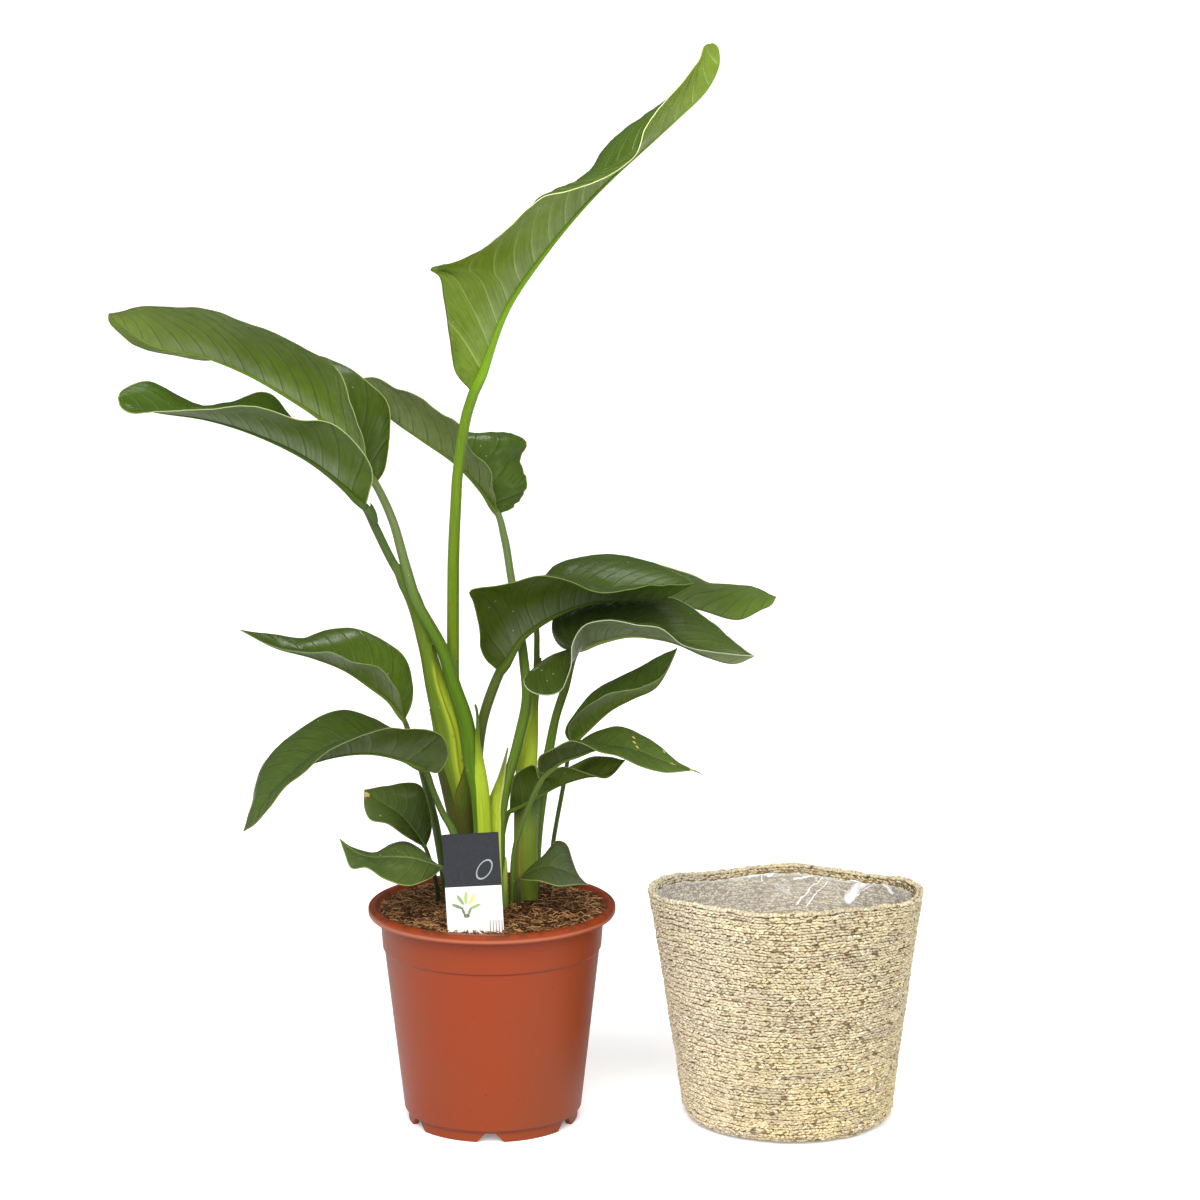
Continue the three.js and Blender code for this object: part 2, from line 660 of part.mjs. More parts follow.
function potSolid() {
  const lipFloor = POT.height - POT.lipHeight;
  const underBand = POT.bandFloorZ - POT.bandBevel;
  const outline = [
    [0, POT.floorZ + POT.wall],
    [potRadius(POT.wallFootZ) - POT.wall, POT.floorZ + POT.wall],
    [potRadius(underBand) - POT.wall, underBand],
    [potRadius(lipFloor) - POT.wall, lipFloor],
    [POT.rimRadius - POT.lipWidth, POT.height],
    [POT.rimRadius - POT.lipRound, POT.height],
    [POT.rimRadius, POT.height - POT.lipRound],
    [POT.rimRadius, lipFloor + POT.lipRound],
    [POT.rimRadius - POT.lipRound, lipFloor],
    [potRadius(lipFloor), lipFloor],
    [potRadius(POT.bandFloorZ), POT.bandFloorZ],
    [potRadius(POT.bandFloorZ - POT.bandStep), POT.bandFloorZ - POT.bandStep],
    [POT.wallFootRadius, POT.wallFootZ],
    [POT.wallFootRadius - POT.lipRound, POT.floorZ],
    [POT.footRadius, POT.floorZ],
    [POT.footRadius, 0],
    [POT.footRadius - POT.footWidth, 0],
    [POT.footRadius - POT.footWidth, POT.floorZ],
    [0, POT.floorZ],
  ];
  let pot = turned(outline.reverse(), POT.sides);
  for (let k = 0; k < POT.notches; k += 1) {
    const notch = new THREE.ExtrudeGeometry(new THREE.Shape([
      new THREE.Vector2(-POT.notchWidth / 2, -POT.notchHeight),
      new THREE.Vector2(POT.notchWidth / 2, -POT.notchHeight),
      new THREE.Vector2(POT.notchWidth / 2, 0),
      new THREE.Vector2(POT.notchTopWidth / 2, POT.notchHeight),
      new THREE.Vector2(-POT.notchTopWidth / 2, POT.notchHeight),
      new THREE.Vector2(-POT.notchWidth / 2, 0),
    ]), { depth: POT.notchDepth, bevelEnabled: false });
    notch.rotateX(Math.PI / 2);
    notch.translate(0, (POT.notchDepth + POT.footWidth) / 2 - POT.footRadius, 0);
    notch.rotateZ((2 * Math.PI * k) / POT.notches);
    pot = pot.subtract(solidOf(notch));
  }
  const { drainRadius, drainSides } = POT;
  for (let k = 0; k < POT.drains; k += 1) {
    const drain = new THREE.CylinderGeometry(drainRadius, drainRadius, 3 * POT.wall, drainSides);
    drain.rotateX(Math.PI / 2);
    drain.translate(POT.drainCircle, 0, POT.floorZ + POT.wall / 2);
    drain.rotateZ((2 * Math.PI * (k + 0.5)) / POT.drains);
    pot = pot.subtract(solidOf(drain));
  }
  return pot;
}

function soilSolid() {
  const inner = (z) => potRadius(z) - POT.wall - GAP;
  const foot = POT.floorZ + POT.wall + GAP;
  const underBand = POT.bandFloorZ - POT.bandBevel;
  const heaped = ([radius, share]) => [
    radius,
    THREE.MathUtils.lerp(SOIL.edgeZ, SOIL.crownZ, share),
  ];
  const outline = [
    [0, foot],
    [inner(POT.wallFootZ), foot],
    [inner(underBand), underBand],
    [inner(SOIL.edgeZ), SOIL.edgeZ],
    heaped(SOIL.shoulder),
    heaped(SOIL.mound),
    [0, SOIL.crownZ],
  ];
  let soil = turned(outline, SOIL.sides);
  Object.values(LEAVES).forEach((leaf) => {
    soil = soil.subtract(stalkHole(leaf));
  });
  const shootHole = [SOIL.rootZ - GAP, SOIL.holeTopZ].map((z) => shootRing(z, SHOOT.radius + GAP));
  return soil.subtract(lofted(shootHole)).subtract(labelSolid(GAP));
}

// ---------------------------------------------------------------- plant label
function labelSolid(spare) {
  const half = LABEL.width / 2 + spare;
  const neck = LABEL.stakeWidth / 2 + spare;
  const point = LABEL.stakeTipWidth / 2 + spare;
  const outline = new THREE.Shape([
    [-half, LABEL.height],
    [-half, -spare],
    [-neck, -spare],
    [-point, -LABEL.stakeLength - spare],
    [point, -LABEL.stakeLength - spare],
    [neck, -spare],
    [half, -spare],
    [half, LABEL.height],
  ].map(([x, y]) => new THREE.Vector2(x, y)));
  const depth = LABEL.thickness + 2 * spare;
  const geometry = new THREE.ExtrudeGeometry(outline, { depth, bevelEnabled: false });
  geometry.translate(0, 0, -depth / 2);
  geometry.rotateX(Math.PI / 2);
  geometry.rotateY(THREE.MathUtils.degToRad(LABEL.lean));
  geometry.translate(LABEL.x, LABEL.y, LABEL.footZ);
  return solidOf(geometry);
}

// ---------------------------------------------------------------- basket and liner
function basketOuter(z) {
  const { outline } = BASKET;
  const next = Math.max(1, outline.findIndex((point) => point[1] >= z));
  const [lowRadius, lowZ] = outline[next - 1];
  const [highRadius, highZ] = outline[next];
  return THREE.MathUtils.lerp(lowRadius, highRadius, (z - lowZ) / (highZ - lowZ));
}

// The soft wall leans and waves more the higher it is.
function slumped(point) {
  const angle = Math.atan2(point.y, point.x);
  const share = Math.max(point.z, 0) / BASKET.height;
  const wave = BASKET.rimWave * Math.sin(BASKET.rimWaves * angle + BASKET.rimPhase);
  point.x += BASKET.lean * share;
  point.z += share * share * (wave - BASKET.slump * Math.sin(angle));
  return point;
}

function softTurned(outline) {
  const points = outline.map(([radius, z]) => new THREE.Vector2(radius, z));
  const geometry = new THREE.LatheGeometry(points, BASKET.sides);
  geometry.rotateX(Math.PI / 2);
  const position = geometry.attributes.position;
  const point = new THREE.Vector3();
  for (let i = 0; i < position.count; i += 1) {
    slumped(point.fromBufferAttribute(position, i));
    position.setXYZ(i, point.x + BASKET.x, point.y + BASKET.y, point.z);
  }
  return solidOf(geometry);
}

// The inside of the basket's wall, drawn in by a depth, from its floor up to a height.
function insideWall(depth, topZ) {
  const inner = (z) => basketOuter(z) - BASKET.wall - depth;
  const heights = [...BASKET.innerHeights.filter((z) => z < topZ), topZ];
  const corner = inner(BASKET.innerHeights[0]) - BASKET.innerCorner;
  return [
    [0, BASKET.floor + depth],
    [corner, BASKET.floor + depth],
    ...heights.map((z) => [inner(z), z]),
  ];
}

function basketSolid() {
  const rim = BASKET.outline[BASKET.outline.length - 1][0];
  return softTurned([
    [0, 0],
    ...BASKET.outline,
    [rim - BASKET.wall / 2, BASKET.height + BASKET.rimRise],
    ...insideWall(0, BASKET.height).reverse(),
  ]);
}

function linerSolid() {
  return softTurned([
    ...insideWall(GAP, LINER.topZ),
    ...insideWall(GAP + LINER.film, LINER.topZ).reverse(),
  ]);
}

// ---------------------------------------------------------------- the whole plant
const plant = new THREE.Group();
plant.add(named('nursery_pot', potSolid(), FINISH.terracotta));
plant.add(named('potting_soil', soilSolid(), FINISH.soil));
Object.entries(LEAVES).forEach(([name, leaf]) => plant.add(leafMesh(name, leaf)));
plant.add(named('young_shoot', shootSolid(), FINISH.shoot));
plant.add(named('plant_label', labelSolid(0), FINISH.label));
plant.add(named('seagrass_basket', basketSolid(), FINISH.seagrass));
plant.add(named('basket_liner', linerSolid(), FINISH.film));

// The origin is the middle of the floor area that the whole object takes.
const box = new THREE.Box3().setFromObject(plant);
const middle = box.getCenter(new THREE.Vector3());
plant.position.set(-middle.x, -middle.y, -box.min.z);

export default plant;
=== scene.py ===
"""Potted bird of paradise with its seagrass basket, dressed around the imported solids.

Sizes are millimetres from the pot's own axis, +Z up and -Y towards the viewer. They become
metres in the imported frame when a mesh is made.
"""

import logging
import math
from dataclasses import dataclass, field, replace
from enum import Enum
from functools import partial
from typing import Any, Callable, ClassVar

import bpy
import numpy as np
from bpy.types import Material, Node, NodeSocket, NodeTree, Object
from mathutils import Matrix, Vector, noise


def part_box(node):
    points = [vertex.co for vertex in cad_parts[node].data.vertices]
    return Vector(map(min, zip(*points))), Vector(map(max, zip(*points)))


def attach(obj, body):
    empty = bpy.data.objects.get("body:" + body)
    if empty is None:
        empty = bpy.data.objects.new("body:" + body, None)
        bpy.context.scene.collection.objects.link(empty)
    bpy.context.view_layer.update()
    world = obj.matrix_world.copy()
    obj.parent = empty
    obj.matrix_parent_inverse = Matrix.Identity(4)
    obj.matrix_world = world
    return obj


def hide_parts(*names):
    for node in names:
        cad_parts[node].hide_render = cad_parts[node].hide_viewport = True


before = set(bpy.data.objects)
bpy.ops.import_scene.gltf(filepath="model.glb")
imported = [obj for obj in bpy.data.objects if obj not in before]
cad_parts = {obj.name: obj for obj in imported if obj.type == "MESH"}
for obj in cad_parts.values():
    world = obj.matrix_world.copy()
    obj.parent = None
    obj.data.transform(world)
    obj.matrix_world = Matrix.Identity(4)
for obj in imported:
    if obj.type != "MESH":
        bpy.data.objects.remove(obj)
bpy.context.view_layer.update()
POT_LOW, POT_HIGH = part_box("nursery_pot")
POT_AXIS = np.array([(POT_LOW.x + POT_HIGH.x) / 2, (POT_LOW.y + POT_HIGH.y) / 2, 0.0])
MM = 0.001
AWAY = np.array([0.0, 1.0, 0.0])

log = logging.getLogger("plant")

Paint = tuple[float, float, float, float]
Quads = list[tuple[int, ...]]


class Slot(Enum):
    """The record's material slots."""

    POT = "pot"
    SOIL = "soil"
    YOUNG = "leaf_young"
    FRESH = "leaf_fresh"
    MATURE = "leaf_mature"
    DARK = "leaf_dark"
    SHOOT = "shoot"
    LABEL = "label"
    SEAGRASS = "seagrass"
    FILM = "film"


def paint(code: str) -> Paint:
    """Turns a six-digit sRGB code into a linear colour.

    Args:
        code: The colour, such as "b4553a".

    Returns:
        Red, green, blue and an alpha of 1.
    """
    parts = [int(code[i : i + 2], 16) / 255 for i in (0, 2, 4)]
    linear = [p / 12.92 if p <= 0.04045 else ((p + 0.055) / 1.055) ** 2.4 for p in parts]
    return linear[0], linear[1], linear[2], 1.0


def unit(vectors: np.ndarray) -> np.ndarray:
    """Scales vectors to length 1; one of no length stays as it is."""
    lengths = np.linalg.norm(vectors, axis=-1, keepdims=True)
    return vectors / np.maximum(lengths, 1e-9)


def ease(values: np.ndarray, low: float, high: float) -> np.ndarray:
    """Smooth step from 0 at low to 1 at high."""
    share = np.clip((values - low) / (high - low), 0.0, 1.0)
    return share * share * (3 - 2 * share)


def ripple(points: np.ndarray, size: float, seed: float, octaves: int = 3) -> np.ndarray:
    """Seeded natural noise at points.

    Args:
        points: Places in millimetres, one row each.
        size: Size of the largest bumps, in millimetres.
        seed: Moves the noise; the same seed gives the same bumps.
        octaves: How many finer layers are added.

    Returns:
        One value for each point, roughly from -1 to 1.
    """
    shift = Vector((seed * 17.3, seed * 5.1, seed * 11.7))
    return np.array(
        [noise.fractal(Vector(p) / size + shift, 0.7, 2.1, octaves) for p in points.reshape(-1, 3)]
    ).reshape(points.shape[:-1])


# ------------------------------------------------------------------ meshes
@dataclass
class Patch:
    """A run of faces with its own finish and the vectors kept at its vertices."""

    vertices: np.ndarray
    faces: Quads
    marks: dict[str, np.ndarray] = field(default_factory=dict)
    finish: int = 0


def grid_faces(rows: int, columns: int, start: int = 0, flip: bool = False, ring: bool = False) -> Quads:
    """Quads over a grid of vertices numbered row by row.

    Args:
        rows: Number of rows.
        columns: Number of vertices in a row.
        start: Number of the first vertex.
        flip: Turns the faces round.
        ring: Joins the last column to the first.

    Returns:
        The quads.
    """
    reach = columns if ring else columns - 1
    i, j = np.meshgrid(np.arange(rows - 1), np.arange(reach), indexing="ij")
    a = start + i * columns + j
    b = start + i * columns + (j + 1) % columns
    quads = np.stack([a, b, b + columns, a + columns], axis=-1).reshape(-1, 4)
    return [tuple(q) for q in (quads[:, ::-1] if flip else quads).tolist()]


def tube_faces(rows: int, sides: int) -> Quads:
    """Faces over rings of vertices with a fan to a pole at each end.

    Args:
        rows: Number of rings.
        sides: Vertices in a ring.

    Returns:
        The faces; the first ring's pole and the last ring's pole are numbered after the rings.
    """
    faces = grid_faces(rows, sides, ring=True)
    low, top = rows * sides, (rows - 1) * sides
    faces += [(low, (k + 1) % sides, k) for k in range(sides)]
    return faces + [(low + 1, top + k, top + (k + 1) % sides) for k in range(sides)]


def make_piece(name: str, patches: list[Patch], finishes: list, crease: float = 50.0) -> Object:
    """Makes one mesh object from patches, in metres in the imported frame.

    Args:
        name: Name of the piece.
        patches: Its runs of faces.
        finishes: Materials; a patch's finish is a place in this list.
        crease: Edges that bend more than this many degrees stay sharp.

    Returns:
        The object, at the origin.
    """
    mesh = bpy.data.meshes.new(name)
    starts = np.cumsum([0] + [len(p.vertices) for p in patches])
    vertices = np.vstack([p.vertices for p in patches]) * MM + POT_AXIS
    faces = [tuple(v + s for v in f) for p, s in zip(patches, starts.tolist()) for f in p.faces]
    mesh.from_pydata(vertices.tolist(), [], faces)
    mesh.polygons.foreach_set(
        "material_index", np.concatenate([np.full(len(p.faces), p.finish) for p in patches])
    )
    for mark in sorted({m for p in patches for m in p.marks}):
        values = np.vstack([p.marks.get(mark, np.zeros((len(p.vertices), 3))) for p in patches])
        kept = mesh.attributes.new(mark, "FLOAT_VECTOR", "POINT")
        kept.data.foreach_set("vector", values.astype(np.float32).ravel())
    for finish in finishes:
        mesh.materials.append(finish)
    mesh.shade_smooth()
    mesh.set_sharp_from_angle(angle=math.radians(crease))
    piece = bpy.data.objects.new(name, mesh)
    bpy.context.scene.collection.objects.link(piece)
    return piece


def settle(piece: Object, node: str | None) -> Object:
    """Lets a piece ride on the plant and stand for its CAD node.

    Args:
        piece: The finished piece.
        node: The CAD node that it stands for, if it is the one that does.

    Returns:
        The same piece.
    """
    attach(piece, "root")
    if node:
        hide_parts(node)
    log.info("%s: %d faces", piece.name, len(piece.data.polygons))
    return piece


class Curve:
    """A smooth curve through points, walked by share of its length."""

    def __init__(self, points: Any, samples: int = 1200) -> None:
        """Fits the curve.

        Args:
            points: The places it passes through, in order.
            samples: How many steps its length is measured in.
        """
        self.points = np.asarray(points, float)
        self.steps = np.linspace(0.0, 1.0, samples + 1)
        walk = np.linalg.norm(np.diff(self.spline(self.steps), axis=0), axis=1)
        self.reach = np.concatenate([[0.0], np.cumsum(walk)])
        self.length = float(self.reach[-1])

    def spline(self, steps: np.ndarray) -> np.ndarray:
        """Centripetal Catmull-Rom points.

        Args:
            steps: Steps from 0 at the first point to 1 at the last.

        Returns:
            The places, one row each.
        """
        p = self.points
        ends = np.vstack([2 * p[0] - p[1], p, 2 * p[-1] - p[-2]])
        place = steps * (len(p) - 1)
        first = np.minimum(place.astype(int), len(p) - 2)
        w = (place - first)[:, None]
        a, b, c, d = (ends[first + k] for k in range(4))
        gap = [np.linalg.norm(v - u, axis=1)[:, None] ** 0.5 for u, v in ((a, b), (b, c), (c, d))]
        leave = ((b - a) / gap[0] - (c - a) / (gap[0] + gap[1]) + (c - b) / gap[1]) * gap[1]
        reach = ((c - b) / gap[1] - (d - b) / (gap[1] + gap[2]) + (d - c) / gap[2]) * gap[1]
        square = -3 * b + 3 * c - 2 * leave - reach
        cube = 2 * b - 2 * c + leave + reach
        return b + leave * w + square * w**2 + cube * w**3

    def at(self, shares: np.ndarray) -> np.ndarray:
        """Places at shares of the length."""
        wanted = np.clip(shares, 0.0, 1.0) * self.length
        return self.spline(np.interp(wanted, self.reach, self.steps))

    def along(self, shares: np.ndarray) -> np.ndarray:
        """Directions at shares of the length."""
        return unit(self.at(shares + 2e-3) - self.at(shares - 2e-3))


def tube(
    centres: np.ndarray, wide: np.ndarray, deep: np.ndarray, sides: int, ridges: float = 0.0
) -> tuple[Patch, np.ndarray]:
    """A closed tube of oval rings along a line of centres.

    Args:
        centres: The line, one centre for each ring.
        wide: Half width of each ring, across the view.
        deep: Half depth of each ring.
        sides: Vertices in a ring.
        ridges: Height of fine lengthwise ridges, as a share of the radius.

    Returns:
        The tube, and the angle of each of its vertices.
    """
    ahead = unit(np.gradient(centres, axis=0))
    across = unit(np.cross(AWAY, ahead))
    inward = np.cross(ahead, across)
    angles = 2 * np.pi * (np.arange(sides) + 0.5) / sides
    swell = 1 + ridges * np.cos(angles * 7)
    rings = (
        centres[:, None]
        + across[:, None] * (wide[:, None] * np.cos(angles) * swell)[..., None]
        + inward[:, None] * (deep[:, None] * np.sin(angles) * swell)[..., None]
    )
    vertices = np.vstack([rings.reshape(-1, 3), centres[:1], centres[-1:]])
    round_it = np.concatenate([np.tile(angles, len(centres)), [0.0, 0.0]])
    return Patch(vertices, tube_faces(len(centres), sides)), round_it


def rounded(outline: list[tuple[float, float]], radius: float, steps: int = 3) -> list[tuple]:
    """Rounds the corners of an outline and adds a support point beside each.

    Args:
        outline: Points from the axis round and back to the axis.
        radius: Largest rounding, in millimetres.
        steps: Pieces in each rounded corner.

    Returns:
        The finer outline.
    """
    points = np.asarray(outline, float)
    finer = [tuple(points[0])]
    for before, corner, after in zip(points, points[1:], points[2:]):
        sides = [before - corner, after - corner]
        lengths = [np.linalg.norm(s) for s in sides]
        r = min(radius, *(0.4 * n for n in lengths))
        enter, leave = (corner + s / n * r for s, n in zip(sides, lengths))
        if lengths[0] > 5 * r:
            finer.append(tuple(corner + sides[0] / lengths[0] * r * 2))
        for k in range(steps + 1):
            t = k / steps
            finer.append(tuple((1 - t) ** 2 * enter + 2 * t * (1 - t) * corner + t * t * leave))
        if lengths[1] > 5 * r:
            finer.append(tuple(corner + sides[1] / lengths[1] * r * 2))
    finer.append(tuple(points[-1]))
    return finer


def turned(
    outline: list[tuple], angles: np.ndarray, shape: Callable[[np.ndarray], np.ndarray] | None = None
) -> Patch:
    """A closed body turned about the axis from an outline that runs anticlockwise.

    Args:
        outline: [radius, height] points that start and end on the axis.
        angles: The angles of its sides, in radians.
        shape: Moves the vertices, given as rows of x, y, z.

    Returns:
        The body, with a single vertex at each pole.
    """
    sides = len(angles)
    rings = [
        np.stack([r * np.cos(angles), r * np.sin(angles), np.full(sides, z)], axis=1)
        for r, z in outline[1:-1]
    ]
    poles = np.array([[0.0, 0.0, outline[0][1]], [0.0, 0.0, outline[-1][1]]])
    vertices = np.vstack([*rings, poles])
    if shape:
        vertices = shape(vertices)
    return Patch(vertices, tube_faces(len(rings), sides))


# ------------------------------------------------------------------ node writing
class NodeWriter:
    """Adds nodes to a tree and joins them."""

    def __init__(self, tree: NodeTree) -> None:
        """Takes the tree that is written to."""
        self.tree = tree

    def add(self, kind: str, feeds: dict[Any, Any] | None = None, **settings: Any) -> Node:
        """Adds one node.

        Args:
            kind: Blender's name for the type of node.
            feeds: Input name or number to a value, a socket or a node.
            settings: The node's own settings.

        Returns:
            The node.
        """
        node = self.tree.nodes.new(kind)
        for key, value in settings.items():
            setattr(node, key, value)
        for key, value in (feeds or {}).items():
            self.feed(node.inputs[key], value)
        return node

    def feed(self, socket: NodeSocket, value: Any) -> None:
        """Sets a socket or joins one to it.

        Args:
            socket: The input.
            value: A plain value, a socket, or a node whose first output is taken.
        """
        if isinstance(value, Node):
            value = value.outputs[0]
        if isinstance(value, NodeSocket):
            self.tree.links.new(value, socket)
        else:
            socket.default_value = value

    def maths(self, task: str, a: Any, b: Any = 0.0, clamp: bool = False) -> NodeSocket:
        """A sum on one or two numbers."""
        return self.add("ShaderNodeMath", {0: a, 1: b}, operation=task, use_clamp=clamp).outputs[0]

    def times(self, a: Any, b: Any, clamp: bool = False) -> NodeSocket:
        """The product of two numbers."""
        return self.maths("MULTIPLY", a, b, clamp)

    def plus(self, a: Any, b: Any, clamp: bool = False) -> NodeSocket:
        """The sum of two numbers."""
        return self.maths("ADD", a, b, clamp)

    def minus(self, a: Any, b: Any) -> NodeSocket:
        """The first number less the second."""
        return self.maths("SUBTRACT", a, b)

    def span(self, value: Any, low: float, high: float, a: float = 0.0, b: float = 1.0) -> Any:
        """Smooth step of a value, from a at low to b at high."""
        feeds = {"Value": value, "From Min": low, "From Max": high, "To Min": a, "To Max": b}
        return self.add("ShaderNodeMapRange", feeds, interpolation_type="SMOOTHSTEP").outputs[0]

    def blend(self, share: Any, a: Any, b: Any, mode: str = "MIX") -> NodeSocket:
        """Mixes two colours."""
        feeds = {0: share, 6: a, 7: b}
        return self.add("ShaderNodeMix", feeds, data_type="RGBA", blend_type=mode).outputs[2]

    def over(self, colour: Any, share: Any, code: str) -> NodeSocket:
        """Lays an sRGB colour over another one by a share."""
        return self.blend(share, colour, paint(code))

    def noise(self, place: Any, scale: float, detail: float = 3.0, rough: float = 0.55) -> Any:
        """Noise value from 0 to 1 at a place."""
        feeds = {"Vector": place, "Scale": scale, "Detail": detail, "Roughness": rough}
        return self.add("ShaderNodeTexNoise", feeds).outputs["Fac"]

    def vector(self, x: Any, y: Any, z: Any) -> NodeSocket:
        """A vector from three numbers."""
        return self.add("ShaderNodeCombineXYZ", {0: x, 1: y, 2: z}).outputs[0]

    def parts(self, value: Any) -> list[NodeSocket]:
        """The three numbers of a vector."""
        return list(self.add("ShaderNodeSeparateXYZ", {0: value}).outputs)

    def stretched(self, place: Any, *scales: float) -> NodeSocket:
        """A place with each of its three numbers scaled."""
        return self.vector(*(self.times(part, scale) for part, scale in zip(self.parts(place), scales)))

    def kept(self, mark: str) -> NodeSocket:
        """The vector that the mesh keeps under a name."""
        return self.add("ShaderNodeAttribute", attribute_name=mark).outputs["Vector"]

    def group(self, tree: NodeTree, feeds: dict[str, Any]) -> Node:
        """Places a shader group with its own values."""
        return self.add("ShaderNodeGroup", feeds, node_tree=tree)


class MaterialWriter(NodeWriter):
    """Writes one material round a Principled shader."""

    def __init__(self, name: str) -> None:
        """Makes the empty material.

        Args:
            name: Name of the material.
        """
        self.material = bpy.data.materials.new(name)
        self.material.use_nodes = True
        super().__init__(self.material.node_tree)
        self.tree.nodes.clear()
        self.shader = self.add("ShaderNodeBsdfPrincipled")
        output = self.add("ShaderNodeOutputMaterial")
        self.tree.links.new(self.shader.outputs[0], output.inputs[0])

    def place(self) -> NodeSocket:
        """Object coordinates."""
        return self.add("ShaderNodeTexCoord").outputs["Object"]

    def set(self, **values: Any) -> None:
        """Sets the shader's inputs; a name's underscores stand for spaces."""
        for key, value in values.items():
            self.feed(self.shader.inputs[key.replace("_", " ")], value)

    def bump(self, height: Any, distance: float, strength: float = 1.0) -> None:
        """Joins a height to the shader's normal through a bump, distance in metres."""
        feeds = {"Height": height, "Distance": distance, "Strength": strength}
        self.set(Normal=self.add("ShaderNodeBump", feeds))


class GroupWriter(NodeWriter):
    """Writes a shader group with named sockets, whose outputs are numbers."""

    def __init__(self, name: str, takes: dict[str, float | None]) -> None:
        """Makes the group with its inputs.

        Args:
            name: Name of the group.
            takes: Input name to its default; None stands for a vector.
        """
        super().__init__(bpy.data.node_groups.new(name, "ShaderNodeTree"))
        for key, value in takes.items():
            kind = "NodeSocketVector" if value is None else "NodeSocketFloat"
            made = self.tree.interface.new_socket(key, in_out="INPUT", socket_type=kind)
            if value is not None:
                made.default_value = value
        self.takes = self.add("NodeGroupInput").outputs

    def give(self, values: dict[str, Any]) -> NodeTree:
        """Makes the group's outputs and joins them.

        Args:
            values: Output name to the number that it puts out.

        Returns:
            The finished group.
        """
        for key in values:
            self.tree.interface.new_socket(key, in_out="OUTPUT", socket_type="NodeSocketFloat")
        self.add("NodeGroupOutput", values)
        return self.tree


class Effects:
    """The shader groups that several finishes share, each built once."""

    def __init__(self) -> None:
        """Builds every group."""
        self.mottle = self.build_mottle()
        self.veins = self.build_veins()
        self.streaks = self.build_streaks()
        self.dust = self.build_dust()

    def build_mottle(self) -> NodeTree:
        """Writes a soft unevenness of colour and height at two sizes.

        Returns:
            The group.
        """
        w = GroupWriter("mottle", {"Place": None, "Coarse": 60.0, "Fine": 900.0, "Share": 0.5})
        place = w.takes["Place"]
        coarse = w.add("ShaderNodeTexNoise", {"Vector": place, "Scale": w.takes["Coarse"]})
        fine = w.add("ShaderNodeTexNoise", {"Vector": place, "Scale": w.takes["Fine"]})
        mixed = w.add("ShaderNodeMix", {0: w.takes["Share"], 2: coarse, 3: fine})
        return w.give({"Shade": mixed, "Height": fine})

    def build_veins(self) -> NodeTree:
        """Writes the side veins, at whole numbers, and the hair-fine ones between them.

        Returns:
            The group.
        """
        w = GroupWriter("leaf veins", {"Vein": 0.0, "Across": 0.0, "Width": 0.06, "Count": 16.0})
        vein = w.takes["Vein"]
        thin = w.maths("DIVIDE", w.maths("PINGPONG", vein, 0.5), w.takes["Width"])
        line = w.span(thin, 0.0, 1.0, 1.0, 0.0)
        strand = w.vector(w.times(vein, w.takes["Count"]), w.times(w.takes["Across"], 2.5), 0.0)
        fine = w.noise(strand, 1.0, 3.0, 0.7)
        height = w.plus(w.times(line, 0.8), w.times(fine, 0.5))
        return w.give({"Line": line, "Fine": fine, "Pleat": w.maths("FRACT", vein), "Height": height})

    def build_streaks(self) -> NodeTree:
        """Writes lengthwise streaks round a stalk.

        Returns:
            The group.
        """
        w = GroupWriter("stalk streaks", {"Cosine": 0.0, "Sine": 0.0, "Along": 0.0, "Number": 6.0})
        round_it = [w.times(w.takes[key], w.takes["Number"]) for key in ("Cosine", "Sine")]
        place = w.vector(*round_it, w.times(w.takes["Along"], 2.5))
        return w.give({"Streak": w.noise(place, 1.0, 3.0), "Height": w.noise(place, 5.0, 2.0)})

    def build_dust(self) -> NodeTree:
        """Writes scattered specks, as a mask.

        Returns:
            The group.
        """
        w = GroupWriter("dust specks", {"Place": None, "Scale": 300.0, "Size": 0.12, "Share": 0.5})
        cells = w.add("ShaderNodeTexVoronoi", {"Vector": w.takes["Place"], "Scale": w.takes["Scale"]})
        speck = w.maths("LESS_THAN", cells.outputs["Distance"], w.takes["Size"])
        some = w.maths("LESS_THAN", w.parts(cells.outputs["Color"])[0], w.takes["Share"])
        return w.give({"Mask": w.times(speck, some)})


EFFECTS = Effects()


